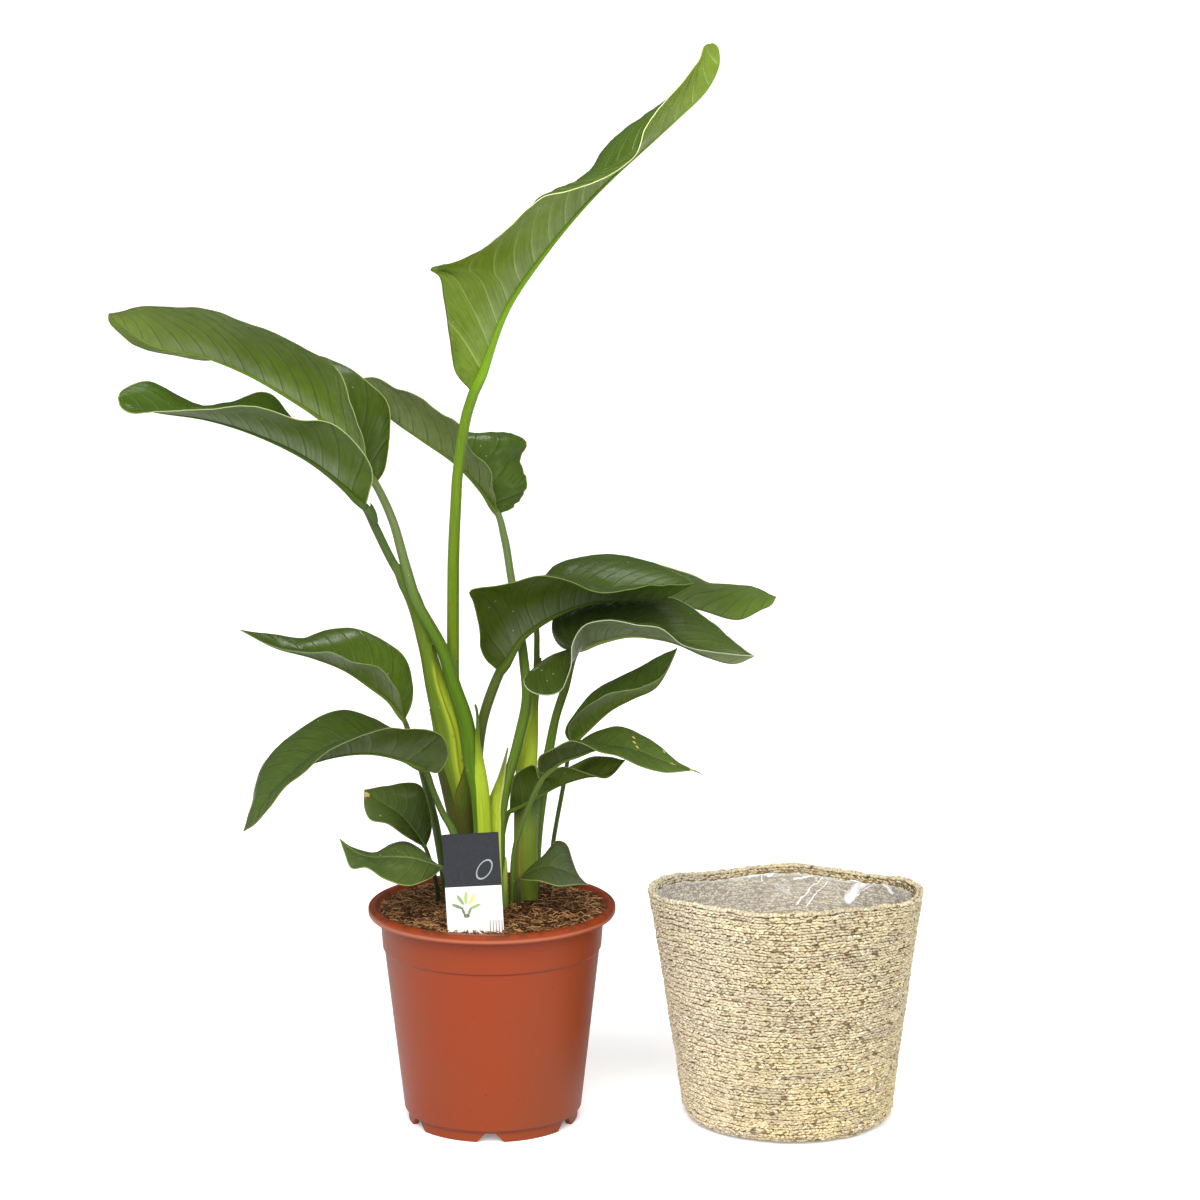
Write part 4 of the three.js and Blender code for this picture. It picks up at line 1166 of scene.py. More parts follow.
LEAF_ROUTES: dict[str, LeafRoute] = {
    "leaf_01_tall": LeafRoute(
        stalk=((-25, 8, 172, 9.5), (-26, 8, 217, 9.5), (-28, 8, 265, 9.5), (-29, 8, 312, 9.5),
            (-29, 8, 366, 9.5), (-28, 8, 435, 9.0), (-24, 9, 504, 8.0), (-18, 9, 542, 8.0),
            (-12, 8, 562, 8.0)),
        rib=((-12, 8, 562), (-2, 6, 589), (14, 0, 628), (44, -8, 671), (72, -14, 704), (92, -16, 724),
            (111, -18, 741), (139, -16, 766), (161, -10, 787), (170.1, -2, 804.5), (170.5, 0, 812.5),
            (169, 1, 819), (165.3, 0, 821.2)),
        near=((-25, -6, 580), (-28, -16, 608), (-32, -26, 635), (-33.5, -34, 652.2), (-37.1, -36, 656),
            (-41.3, -38, 657.6), (-38.5, -38, 659.2), (-31.8, -40, 660.5), (-20, -44, 665),
            (1, -54, 675), (20, -62, 694), (41, -66, 711), (65, -64, 718), (93, -56, 728),
            (110, -48, 743), (116, -42, 759), (130, -32, 779), (144, -22, 796), (155.5, -8, 808.9),
            (159.6, -3, 819.5)),
        far=((-15, 20, 578), (-12, 36, 607), (-2, 46, 640), (19, 48, 677), (53, 44, 711), (75, 40, 723),
            (87, 36, 744), (113, 32, 765), (137, 24, 784), (155, 10, 807)),
    ),
    "leaf_02_upper_left": LeafRoute(
        stalk=((-7, -20, 180, 11.0), (-7, -20, 232, 12.0), (-9, -20, 263, 12.5), (-13, -19, 284, 13.5),
            (-19, -18, 317, 12.5), (-27, -17, 342, 11.0), (-36, -16, 371, 9.5), (-55, -14, 408, 8.0),
            (-63, -9, 434, 7.5), (-73, -3, 468, 6.5), (-86, 4, 494, 6.0)),
        rib=((-86, 4, 494), (-104, 8, 521), (-126, 12, 542), (-152, 15, 559), (-183, 18, 576),
            (-218, 22, 589), (-256, 26, 597), (-287.3, 30, 619.8)),
        near=((-90, -8, 506), (-95, -20, 536), (-101, -26, 559), (-110, -30, 582), (-129, -30, 597),
            (-155, -28, 609), (-186, -24, 621), (-210, -16, 627), (-253, 4, 627)),
        far=((-80, 14, 503), (-76, 26, 530), (-79, 34, 552), (-93, 40, 567), (-114, 48, 580),
            (-146, 58, 588), (-193, 64, 588), (-219, 56, 582), (-248, 46, 588), (-272, 38, 597),
            (-280.3, 36, 604.2), (-286.5, 33, 611.2), (-288.3, 31, 615.9)),
    ),
    "leaf_03_lower_left": LeafRoute(
        stalk=((-22, -4, 175, 15.0), (-22, -4, 230, 15.5), (-26, -4, 260, 18.5), (-30, -4, 283, 20.0),
            (-32, -4, 306, 19.0), (-40, -4, 337, 13.5), (-47, -4, 368, 9.0), (-58, -3, 407, 8.0),
            (-74, -7, 438, 6.5), (-85, -15, 463, 6.5), (-92, -22, 480, 6.0)),
        rib=((-92, -22, 480), (-105, -25, 494), (-133, -30, 517), (-170, -36, 536), (-206, -42, 548),
            (-242, -48, 554), (-257, -51, 558), (-269.6, -54, 565.1)),
        near=((-88, -32, 493), (-86, -42, 509), (-96, -54, 532), (-114, -62, 547), (-138, -70, 553),
            (-166, -76, 560), (-198, -78, 561), (-229, -74, 557), (-250, -68, 555.5),
            (-262, -60, 555.5), (-268, -56, 559)),
        far=((-96, -16, 492), (-112, -8, 512), (-136, -2, 534), (-150, 2, 548), (-167, 4, 562),
            (-195, 4, 557), (-218, 0, 552), (-234, -8, 563), (-240, -14, 569), (-248.8, -22, 573.4),
            (-257, -30, 573.7), (-268.4, -46, 569.9)),
    ),
    "leaf_04_middle_back": LeafRoute(
        stalk=((6, -9, 177, 10.5), (5, -9, 214, 11.0), (6, -9, 244, 12.5), (13, -8, 270, 8.0),
            (21, -4, 299, 8.0), (27, 4, 328, 8.0), (25, 14, 357, 7.5), (21, 26, 382, 6.5),
            (15, 34, 416, 6.0), (10, 40, 446, 6.0), (5, 44, 465, 5.0)),
        rib=((5, 44, 465), (-7, 46, 483), (-27, 48, 504), (-55, 50, 523), (-78, 52, 539),
            (-108, 56, 569)),
        near=((2, 32, 479), (1, 24, 500), (-14, 22, 517), (-21, 22, 533), (-33, 24, 543),
            (-62, 28, 561), (-90, 42, 570)),
        far=((17, 54, 469), (27, 64, 483), (23, 76, 505), (26, 82, 515), (8, 86, 525), (-16, 88, 522),
            (-44, 88, 530), (-72, 80, 548), (-94, 68, 563)),
    ),
    "leaf_05_right_arching": LeafRoute(
        stalk=((-9, 13, 171, 9.0), (-10, 13, 224, 9.0), (-11, 12, 256, 9.0), (-11, 10, 284, 9.0),
            (-7, 6, 309, 8.0), (0, 1, 333, 8.0), (7, -3, 351, 7.5)),
        rib=((7, -3, 351), (15, -8, 365), (25, -10, 380), (50, -12, 397), (75, -14, 406),
            (106, -16, 409), (131, -18, 411), (153, -20, 422)),
        near=((-3, -12, 362), (-7, -22, 374), (-8, -30, 388), (-11, -40, 411), (-13, -48, 420),
            (8, -58, 426), (37, -66, 435), (62, -70, 431), (79, -70, 425), (104, -66, 426),
            (133, -46, 425)),
        far=((16, 4, 379), (27, 18, 403), (46, 32, 425), (66, 40, 432), (92, 42, 435), (121, 36, 429),
            (144, 10, 424)),
    ),
    "leaf_06_back_right": LeafRoute(
        stalk=((24, 4, 173, 11.0), (24, 4, 218, 11.0), (25, 6, 249, 12.5), (27, 10, 277, 13.5),
            (29, 20, 298, 10.5), (31, 30, 320, 6.5), (34, 42, 343, 5.0), (34, 54, 365, 4.5),
            (35, 66, 392, 4.5)),
        rib=((35, 66, 392), (52, 72, 398), (91, 82, 398), (130, 90, 392), (163, 94, 382),
            (192, 96, 374), (210, 96, 382), (217.5, 96, 385.5), (221.4, 96, 391.9)),
        near=((43, 58, 409), (75, 52, 421), (114, 54, 426), (132, 56, 423), (156, 58, 416),
            (167, 62, 409), (198, 72, 405)),
        far=((40, 84, 398), (75, 108, 410), (123, 124, 407), (163, 126, 392), (198, 112, 390)),
    ),
    "leaf_07_right_dark": LeafRoute(
        pace=2.6,
        stalk=((32, 14, 171, 8.0), (34, 14.5, 216, 9.0), (38, 16, 251, 9.0), (44, 15, 287, 7.5),
            (49, 12, 312, 6.5), (56, 5, 336, 6.5), (66, -6, 369, 5.0)),
        rib=((66, -6, 369), (80, -9, 375), (104, -12, 381), (122, -14, 380), (140, -16, 376),
            (163, -18, 366), (184, -20, 361), (199, -22, 367)),
        near=((44, -26, 362), (26, -38, 353), (30, -46, 345), (43, -50, 342), (55, -52, 346),
            (61, -52, 364), (62, -54, 382), (71, -58, 397), (89, -62, 401), (110, -62, 397),
            (127, -58, 395), (144, -50, 381), (169, -40, 373)),
        far=((55, 6, 368), (47, 18, 378), (49, 28, 390), (75, 38, 400), (114, 40, 402), (144, 36, 400),
            (167, 24, 385), (187, 4, 372)),
    ),
    "leaf_08_small_upper_right": LeafRoute(
        stalk=((43, 30, 166, 3.5), (47, 30, 212, 3.5), (55, 24, 257, 3.5), (61, 20, 290, 3.0)),
        rib=((61, 20, 290), (73, 20, 301), (91, 20, 317), (108, 20, 326), (125, 20, 334),
            (134, 20, 347), (142, 20, 365)),
        near=((59, 8, 305), (66, -2, 318), (80, -8, 330), (92, -10, 337), (113, -4, 339),
            (130, 8, 346)),
        far=((57, 30, 297), (64, 38, 311), (77, 44, 325), (92, 46, 334), (118, 42, 349),
            (132, 32, 358)),
    ),
    "leaf_09_lower_right_spotted": LeafRoute(
        stalk=((16, -16, 179, 4.5), (18, -20, 214, 4.5), (23, -26, 235, 4.5), (29, -33, 253, 4.0),
            (36, -40, 270, 4.0), (43, -44, 282, 3.5)),
        rib=((43, -44, 282), (53, -43, 290), (67, -42, 295), (82, -41, 300), (108, -40, 299),
            (128, -38, 291), (154, -36, 282)),
        near=((37, -50, 284), (38, -60, 298), (48, -66, 305), (62, -68, 312), (73, -68, 309),
            (82, -68, 304), (95, -68, 301), (111, -64, 292), (131, -54, 285)),
        far=((45, -34, 284), (57, -24, 292), (74, -16, 304), (88, -12, 309), (101, -14, 311),
            (121, -22, 303), (140, -32, 289)),
    ),
    "leaf_10_lower_right_under": LeafRoute(
        stalk=((5, 5, 173, 4.5), (6, 5, 202, 4.5), (9, 1, 226, 4.0), (14, -5, 243, 3.5)),
        rib=((14, -5, 243), (30, -12, 253), (51, -17, 266), (73, -18, 273), (89, -16, 274),
            (102, -14, 285)),
        near=((15, -14, 260), (19, -20, 275), (34, -28, 285), (38, -28, 274), (45, -30, 279),
            (54, -32, 284), (73, -32, 279), (88, -26, 274)),
        far=((24, -4, 255), (41, -4, 267), (62, 2, 278), (76, 4, 284), (92, -4, 285)),
    ),
    "leaf_11_upper_small_left": LeafRoute(
        stalk=((-36, 22, 169, 6.5), (-43, 22, 220, 6.5), (-49, 18, 251, 6.0), (-55, 12, 276, 5.0),
            (-61, 6, 295, 4.5), (-66, 0, 313, 4.0)),
        rib=((-66, 0, 313), (-77, -3, 329), (-89, -6, 339), (-110, -9, 354), (-134, -12, 364),
            (-162, -14, 372), (-188, -16, 386)),
        near=((-68, -12, 327), (-70, -20, 341), (-83, -30, 360), (-101, -38, 365), (-117, -42, 374),
            (-133, -40, 373), (-160, -30, 375)),
        far=((-60, 8, 326), (-61, 14, 342), (-66, 18, 358), (-79, 22, 369), (-103, 24, 379),
            (-126, 20, 379), (-145, 12, 375), (-173, -4, 381)),
    ),
    "leaf_12_lower_small_left": LeafRoute(
        stalk=((-18, -34, 184, 6.0), (-28, -33, 234, 6.0), (-36, -32, 249, 5.0), (-43, -32, 266, 5.0),
            (-49, -33, 282, 5.0)),
        rib=((-49, -33, 282), (-64, -36, 290), (-89, -39, 296), (-116, -42, 294), (-138, -45, 287),
            (-158, -48, 272), (-173, -50, 254), (-184, -52, 239)),
        near=((-39, -40, 281), (-30, -50, 297), (-34, -58, 313), (-42, -62, 318), (-61, -66, 320),
            (-75, -68, 322), (-97, -72, 316), (-118, -74, 305), (-135, -74, 290), (-150, -72, 279),
            (-162, -68, 262), (-175, -60, 246)),
        far=((-50, -24, 291), (-62, -16, 301), (-76, -12, 310), (-89, -8, 317), (-113, -6, 322),
            (-132, -8, 316), (-157, -14, 300), (-174, -22, 279), (-180, -38, 254)),
    ),
    "leaf_13_lower_left_dark": LeafRoute(
        stalk=((-41, -11, 177, 3.5), (-44, -11, 197, 3.5), (-47, -12, 207, 3.5), (-50, -14, 217, 3.0)),
        rib=((-50, -14, 217), (-59, -18, 232), (-69, -22, 245), (-81, -25, 254), (-95, -27, 265)),
        near=((-56, -24, 223), (-69, -36, 235), (-78, -40, 242), (-90, -40, 245), (-95, -34, 254)),
        far=((-46, -9, 228), (-48, -6, 248), (-54, -6, 264), (-65, -10, 267), (-77, -16, 266)),
    ),
    "leaf_14_over_rim": LeafRoute(
        stalk=((-31, -24, 181, 3.5), (-33, -25, 194, 3.5), (-37, -27, 205, 3.0)),
        rib=((-37, -27, 205), (-47, -33, 210), (-60, -38, 215), (-75, -43, 217), (-90, -48, 218),
            (-102, -52, 224), (-112, -55, 234)),
        near=((-40, -38, 203), (-49, -54, 201), (-62, -64, 200), (-77, -68, 206), (-92, -66, 215),
            (-103, -62, 213), (-108, -58, 223)),
        far=((-45, -22, 209), (-53, -14, 215), (-65, -12, 222), (-76, -18, 221), (-87, -34, 218),
            (-102, -48, 226)),
    ),
    "leaf_15_over_soil": LeafRoute(
        stalk=((21, -25, 180, 3.5), (21, -23, 187, 3.5), (21, -21, 194, 3.0)),
        rib=((21, -21, 194), (33, -25, 203), (46, -29, 206), (61, -32, 201), (74, -34, 193)),
        near=((28, -32, 196), (39, -44, 198), (51, -50, 196), (66, -44, 196)),
        far=((30, -12, 200), (42, -6, 211), (49, -4, 220), (57, -8, 219), (62, -16, 206),
            (67, -26, 197)),
    ),
}

SMALL_HABIT = LeafHabit(seed=0, veins=9, pleat=0.35, wave=0.8)

LEAF_HABITS: dict[str, LeafHabit] = {
    "leaf_01_tall": LeafHabit(seed=1, veins=18, sweep=0.3, pleat=1.1, wave=1.2),
    "leaf_02_upper_left": LeafHabit(
        seed=2,
        veins=15,
        sweep=0.32,
        wave=1.0,
        sheaths=(
            Sheath(
                ((166, -122), (250, -114), (273, -100), (300, -58), (326, -22)),
                ((166, 90), (300, 60), (326, -4)),
                shift=0.6, flare=3.6, yellow=0.7, edge=0.0,
            ),
        ),
    ),
    "leaf_03_lower_left": LeafHabit(
        seed=3,
        sweep=0.29,
        sheaths=(
            Sheath(
                ((166, -200), (330, -190), (420, -150), (440, -84)),
                ((166, -60), (290, -62), (345, -72), (370, -60), (380, 8), (425, 8), (440, -76)),
                lift=0.95, wider=0.6, edge=0.6, glow=1.0, fade=76.0,
            ),
            Sheath(
                ((166, -90), (350, -90), (372, -60)),
                ((166, 60), (372, 0)),
                lift=0.35, yellow=1.0, edge=0.0,
            ),
            Sheath(
                ((166, -150), (237, -136), (245, -121), (261, -92), (274, -52), (286, -12)),
                ((166, 60), (286, 10)),
                lift=1.6, brown=1.0, edge=0.6,
            ),
            Sheath(
                ((160, -200), (325, -196)),
                ((160, -92), (262, -112), (325, -150)),
                lift=1.4, wider=0.9, brown=0.85, edge=0.0,
            ),
            Sheath(
                ((468, -80), (480, -100), (494, -70)),
                ((468, -40), (480, 30), (494, 20)),
                lift=1.8, edge=0.15,
            ),
        ),
    ),
    "leaf_04_middle_back": LeafHabit(
        seed=4,
        veins=12,
        wave=1.6,
        wave_length=30,
        ragged=2.2,
        sheaths=(
            Sheath(
                ((166, -185), (262, -178), (292, -150)),
                ((166, -50), (236, -60), (266, -90), (292, -140)),
                shift=-1.6, wider=0.8, yellow=0.9, edge=-0.25,
            ),
        ),
    ),
    "leaf_05_right_arching": LeafHabit(seed=5, veins=15, sweep=0.32, wave=1.6),
    "leaf_06_back_right": LeafHabit(
        seed=6,
        veins=12,
        wave=1.0,
        sheaths=(
            Sheath(
                ((166, -190), (330, -170), (352, -60)),
                ((166, -14), (352, -16)),
                lift=0.8, yellow=0.8, edge=0.8,
            ),
            Sheath(
                ((160, -170), (240, -150), (266, -100)),
                ((160, 20), (266, 0)),
                lift=1.6, wider=2.0, shift=1.8, yellow=0.35, brown=0.35, edge=0.6,
            ),
            Sheath(
                ((162, -128), (262, -116)),
                ((162, -106), (262, -108)),
                lift=2.0, wider=2.0, shift=1.8, yellow=0.5, edge=0.55,
            ),
        ),
    ),
    "leaf_07_right_dark": LeafHabit(seed=7, veins=16, wave=1.0),
    "leaf_08_small_upper_right": replace(SMALL_HABIT, seed=8),
    "leaf_09_lower_right_spotted": replace(
        SMALL_HABIT,
        seed=9,
        scars=(
            Scar(0.6, -0.45, 1.5), Scar(0.6, -0.27, 1.6), Scar(0.61, -0.1, 1.6), Scar(0.61, 0.15, 1.5),
            Scar(0.86, 0.12, 2.8), Scar(0.8, -0.7, 1.5), Scar(1.0, 0.0, 5.0),
        ),
        hair=9.0,
    ),
    "leaf_10_lower_right_under": replace(SMALL_HABIT, seed=10),
    "leaf_11_upper_small_left": LeafHabit(seed=11, veins=10, wave=0.8),
    "leaf_12_lower_small_left": LeafHabit(seed=12, veins=11, wave=0.9, rib_size=0.6),
    "leaf_13_lower_left_dark": replace(
        SMALL_HABIT, seed=13, veins=8, wave=0.7, scars=(Scar(0.95, 0.4, 2.5),)
    ),
    "leaf_14_over_rim": replace(SMALL_HABIT, seed=14, veins=8, wave=0.6, rib_size=0.7),
    "leaf_15_over_soil": replace(SMALL_HABIT, seed=15, veins=8, wave=0.6, rib_size=0.7),
}

plain_tint = partial(LeafTint, shine=0.15)
small_tint = partial(LeafTint, frost=0.0, lines=0.3, sheen=0.08, shine=0.2, margin_strength=0.35)
glossy_tint = partial(LeafTint, gloss=0.22, lines=0.2, sheen=0.06, margin_strength=0.35)

LEAF_TINTS: dict[str, LeafTint] = {
    "leaf_01_tall": LeafTint(
        Slot.YOUNG, "6b8220", "6b802a", "4e641d", "4c6421", "73991e", "62811a", "627916", "516010",
        vein="b3c46a", margin="e0e4a4", margin_strength=0.95, margin_from=0.46,
        frost=0.38, lines=0.4, sheen=0.4, shine=0.2,
    ),
    "leaf_02_upper_left": plain_tint(
        Slot.FRESH, "759126", "62752a", "3f5019", "445320", "657822", "697649", "4b6714", "5f8118",
        margin="b4c47a", margin_to=0.3, frost=0.6, frost_reach=17.0,
    ),
    "leaf_03_lower_left": plain_tint(
        Slot.FRESH, "475b14", "405417", "303e0f", "3d5417", "425518", "465b2f", "627722", "4c591a",
        margin="b0c07c", margin_strength=0.7, frost=0.55, frost_reach=18.0,
    ),
    "leaf_04_middle_back": plain_tint(
        Slot.FRESH, "5d7022", "606e33", "42561e", "5a6c31", "5b6e28", "637546", "566e25", "5c7823",
        margin="8a9c50", frost=0.25,
    ),
    "leaf_05_right_arching": plain_tint(
        Slot.MATURE, "3e4c0f", "425813", "2e3a0f", "415320", "495c17", "4d5c27", "50601f", "5b6a1d",
        margin_strength=0.3, frost=0.35,
    ),
    # Leaf 6's upper side grows lighter towards the tip: partly its own colour, partly a painted
    # highlight.
    "leaf_06_back_right": LeafTint(
        Slot.FRESH, "43571b", "5f7824", "3f5019", "758f34", "64782e", "55601d", "405d2f", "5b7b2f",
        margin="c4cc80", margin_strength=0.8, margin_from=0.3, margin_to=0.62, frost=0.25, shine=0.2,
    ),
    "leaf_07_right_dark": LeafTint(
        Slot.MATURE, "474d2e", "7a875e", "384618", "455426", "82914a", "5b682d", "597326", "566c1c",
        margin="c9d0b0", frost=0.45, frost_reach=36.0, shine=0.12,
    ),
    "leaf_08_small_upper_right": small_tint(
        Slot.MATURE, "4f6517", "5e7528", "51691e", "607730", "5e7127", "404620", "4a5a24", "3f4c28",
    ),
    "leaf_09_lower_right_spotted": small_tint(
        Slot.MATURE, "354115", "52652f", "354115", "50632b", "576b2e", "546929", "5b6e2b", "4c5e1f",
    ),
    "leaf_10_lower_right_under": small_tint(
        Slot.MATURE, "374612", "52631c", "3d4d0e", "6a7a32", "4e6223", "5e761d", "51631f", "4a591a",
        margin_strength=0.3, shine=0.15,
    ),
    "leaf_11_upper_small_left": glossy_tint(
        Slot.MATURE, "5e7225", "3e4d20", "4d621c", "384b15", "617522", "4b541c", "405319", "3e4d19",
        frost=0.05, shine=0.32,
    ),
    "leaf_12_lower_small_left": glossy_tint(
        Slot.MATURE, "3c4c12", "4d5a38", "354310", "485a2a", "4c601a", "3b4b19", "4c6622", "3f521d",
        frost=0.1, shine=0.35,
    ),
    "leaf_13_lower_left_dark": small_tint(
        Slot.DARK, "283411", "404f24", "283411", "475626", "4c6024", "3a4a1c", "2b3314", "292f14",
        gloss=0.22, shine=0.25,
    ),
    "leaf_14_over_rim": small_tint(
        Slot.MATURE, "536225", "46561e", "4f5e2b", "445426", "718453", "4e5f3c", "36431d", "2d371b",
        gloss=0.22, shine=0.25, margin_strength=0.55,
    ),
    "leaf_15_over_soil": small_tint(
        Slot.MATURE, "3d4818", "4e5531", "394618", "4e573e", "4c5b21", "3b4723", "2c3313", "293011",
        gloss=0.22, shine=0.4, margin_strength=0.55,
    ),
}


# ------------------------------------------------------------------ pot and soil
@dataclass(frozen=True)
class PotSize:
    """Sizes of the nursery pot, in millimetres."""

    rim: float = 95.0
    height: float = 170.0
    lip_height: float = 7.5
    lip_width: float = 6.5
    band_top: float = 86.0
    band_floor: float = 137.0
    band_step: float = 1.2
    wall_top: float = 82.9
    wall_foot: float = 68.5
    wall_foot_z: float = 10.0
    wall: float = 2.0
    floor_z: float = 8.0
    foot: float = 65.5
    foot_width: float = 4.5
    notch_width: float = 21.0
    notch_top: float = 8.0
    notch_height: float = 7.0
    notches: int = 6
    drain: float = 5.0
    drain_circle: float = 42.0

    def notch_angles(self) -> tuple[float, float]:
        """Half angles of a notch, at its flat top and at the foot, in degrees."""
        halves = (self.notch_top / 2, self.notch_width / 2)
        return tuple(math.degrees(math.asin(h / self.foot)) for h in halves)

    def radius(self, z: float) -> float:
        """Finds the wall's outer radius.

        Args:
            z: A height below the lip.

        Returns:
            The radius there.
        """
        if z >= self.band_floor:
            share = (z - self.band_floor) / (self.height - self.lip_height - self.band_floor)
            low = self.wall_top + self.band_step
            return low + share * (self.band_top - low)
        share = (z - self.wall_foot_z) / (self.band_floor - self.wall_foot_z)
        return self.wall_foot + share * (self.wall_top - self.wall_foot)

    def inside(self, z: float, gap: float) -> float:
        """Radius of something that stays clear of the wall's inside by a gap."""
        return self.radius(z) - self.wall - gap


@dataclass(frozen=True)
class PlasticFinish:
    """Matt moulded plastic with fine grain, scuffs and grit."""

    name: str = "terracotta plastic"
    colour: str = "84300c"
    faded: str = "7c3718"
    shadow_lines: ClassVar[tuple] = (0.0092, 0.1364, 0.1623)
    lip_highlight: ClassVar[float] = 0.1652

    def build(self) -> Material:
        """Writes the material.

        Returns:
            The material.
        """
        w = MaterialWriter(self.name)
        place = w.place()
        mottle = w.group(EFFECTS.mottle, {"Place": place, "Coarse": 9.0, "Fine": 1500.0, "Share": 0.3})
        z = w.parts(place)[2]
        colour = w.blend(w.span(mottle, 0.35, 0.65), paint(self.colour), paint(self.faded))
        streak = w.noise(w.stretched(place, 90.0, 90.0, 6.0), 1.0)
        colour = w.over(colour, w.span(streak, 0.55, 0.8, 0.0, 0.25), "7c3018")
        grit = w.group(EFFECTS.dust, {"Place": place, "Scale": 160.0, "Size": 0.1, "Share": 0.06})
        colour = w.over(colour, w.times(grit, 0.8), "3c2a20")
        fibre = w.group(EFFECTS.dust, {"Place": place, "Scale": 240.0, "Size": 0.14, "Share": 0.04})
        colour = w.over(colour, w.times(fibre, 0.5), "4a1c0c")
        smear = w.span(w.noise(place, 140.0, 4.0), 0.45, 0.62)
        colour = w.over(colour, w.times(w.span(z, 0.166, 0.1695, 0.0, 0.6), smear), "4a2c16")
        for height in self.shadow_lines:
            gap = w.maths("ABSOLUTE", w.minus(z, height))
            colour = w.over(colour, w.span(gap, 0.0002, 0.0009, 0.6, 0.0), "3c1206")
        # Painted highlight: a paler line along the lip.
        lip = w.maths("ABSOLUTE", w.minus(z, self.lip_highlight))
        colour = w.over(colour, w.span(lip, 0.0005, 0.0016, 0.3, 0.0), "d08468")
        w.set(Base_Color=colour, Roughness=w.span(mottle, 0.2, 0.8, 0.4, 0.52), Specular_IOR_Level=0.28)
        w.bump(mottle.outputs["Height"], 0.00012, 0.5)
        return w.material


@dataclass
class NurseryPot:
    """The moulded nursery pot."""

    size: PotSize = field(default_factory=PotSize)

    def outline(self) -> list[tuple[float, float]]:
        """Draws the wall with its lip, step and foot.

        Returns:
            Points from the floor's underside round to its inside.
        """
        s = self.size
        lip_floor, under_band = s.height - s.lip_height, s.band_floor - 3.0
        points = [
            (0, s.floor_z),
            (s.foot - s.foot_width, s.floor_z),
            (s.foot - s.foot_width, 0),
            (s.foot, 0),
            (s.foot, s.floor_z),
            (s.wall_foot - 1.5, s.floor_z),
            (s.wall_foot, s.wall_foot_z),
            (s.radius(s.band_floor - s.band_step), s.band_floor - s.band_step),
            (s.radius(s.band_floor), s.band_floor),
            (s.radius(lip_floor), lip_floor),
            (s.rim - 1.2, lip_floor),
            (s.rim, lip_floor + 1.6),
            (s.rim, s.height - 1.5),
            (s.rim - 1.5, s.height),
            (s.rim - s.lip_width + 1.0, s.height),
            (s.rim - s.lip_width, s.height - 1.2),
            (s.inside(lip_floor, 0), lip_floor),
            (s.inside(under_band, 0), under_band),
            (s.inside(s.wall_foot_z, 0), s.floor_z + s.wall),
            (0, s.floor_z + s.wall),
        ]
        return rounded(points, 0.9)

    def notched(self, vertices: np.ndarray) -> np.ndarray:
        """Raises the foot ring's underside where the notches are.

        Args:
            vertices: The pot's vertices.

        Returns:
            The vertices with the notches in them.
        """
        s = self.size
        radius = np.hypot(vertices[:, 0], vertices[:, 1])
        turn = np.degrees(np.arctan2(vertices[:, 1], vertices[:, 0])) + 90
        step = 360 / s.notches
        gap = np.abs((turn + step / 2) % step - step / 2)
        flat, half = s.notch_angles()
        inside = np.clip((half - gap) / (half - flat), 0.0, 1.0)
        low = (radius > s.foot - s.foot_width - 0.8) & (vertices[:, 2] < s.notch_height)
        raised = np.maximum(vertices[:, 2], inside * s.notch_height)
        out = vertices.copy()
        out[:, 2] = np.where(low, raised, out[:, 2])
        return out

    def build(self) -> Object:
        """Builds the pot with its notches and drain holes.

        Returns:
            The pot.
        """
        s = self.size
        plain = np.arange(0, 360, 1.5)
        halves = [side * half for side in (-1, 1) for half in s.notch_angles()]
        edges = [k * 360 / s.notches - 90 + half for k in range(s.notches) for half in halves]
        angles = np.radians(np.unique(np.round(np.concatenate([plain, np.mod(edges, 360)]), 4)))
        body = turned(self.outline(), angles, self.notched)
        pot = make_piece("nursery_pot_moulded", [body], [PlasticFinish().build()], 35)
        self.drill(pot)
        return settle(pot, "nursery_pot")

    def drill(self, pot: Object) -> None:
        """Cuts the drain holes through the floor.

        Args:
            pot: The pot, whose mesh is changed.
        """
        s = self.size
        cutters = []
        for k in range(s.notches):
            turn = math.radians((k + 0.5) * 360 / s.notches)
            outline = [(0, 0), (s.drain, 0), (s.drain, 8), (0, 8)]
            drill = turned(outline, np.linspace(0, 2 * np.pi, 24, endpoint=False))
            reach = s.drain_circle
            drill.vertices += [reach * math.cos(turn), reach * math.sin(turn), s.floor_z - 3]
            cutters.append(make_piece(f"drill_{k}", [drill], []))
            step = pot.modifiers.new("drain", "BOOLEAN")
            step.operation, step.object, step.solver = "DIFFERENCE", cutters[-1], "EXACT"
        graph = bpy.context.evaluated_depsgraph_get()
        mesh = bpy.data.meshes.new_from_object(pot.evaluated_get(graph))
        pot.modifiers.clear()
        pot.data = mesh
        for cutter in cutters:
            bpy.data.objects.remove(cutter)


@dataclass(frozen=True)
class SoilFinish:
    """Damp brown potting soil."""

    name: str = "potting soil"
    dark: str = "1f130a"
    light: str = "5c3c20"

    def build(self) -> Material:
        """Writes the material.

        Returns:
            The material.
        """
        w = MaterialWriter(self.name)
        place = w.place()
        mottle = w.group(EFFECTS.mottle, {"Place": place, "Coarse": 90.0, "Fine": 700.0, "Share": 0.5})
        colour = w.blend(w.span(mottle, 0.35, 0.62), paint(self.dark), paint(self.light))
        specks = w.group(EFFECTS.dust, {"Place": place, "Scale": 420.0, "Size": 0.2, "Share": 0.1})
        colour = w.over(colour, w.times(specks, 0.7), "a08a68")
        w.set(Base_Color=colour, Roughness=0.93)
        w.bump(mottle, 0.0012, 0.9)
        return w.material


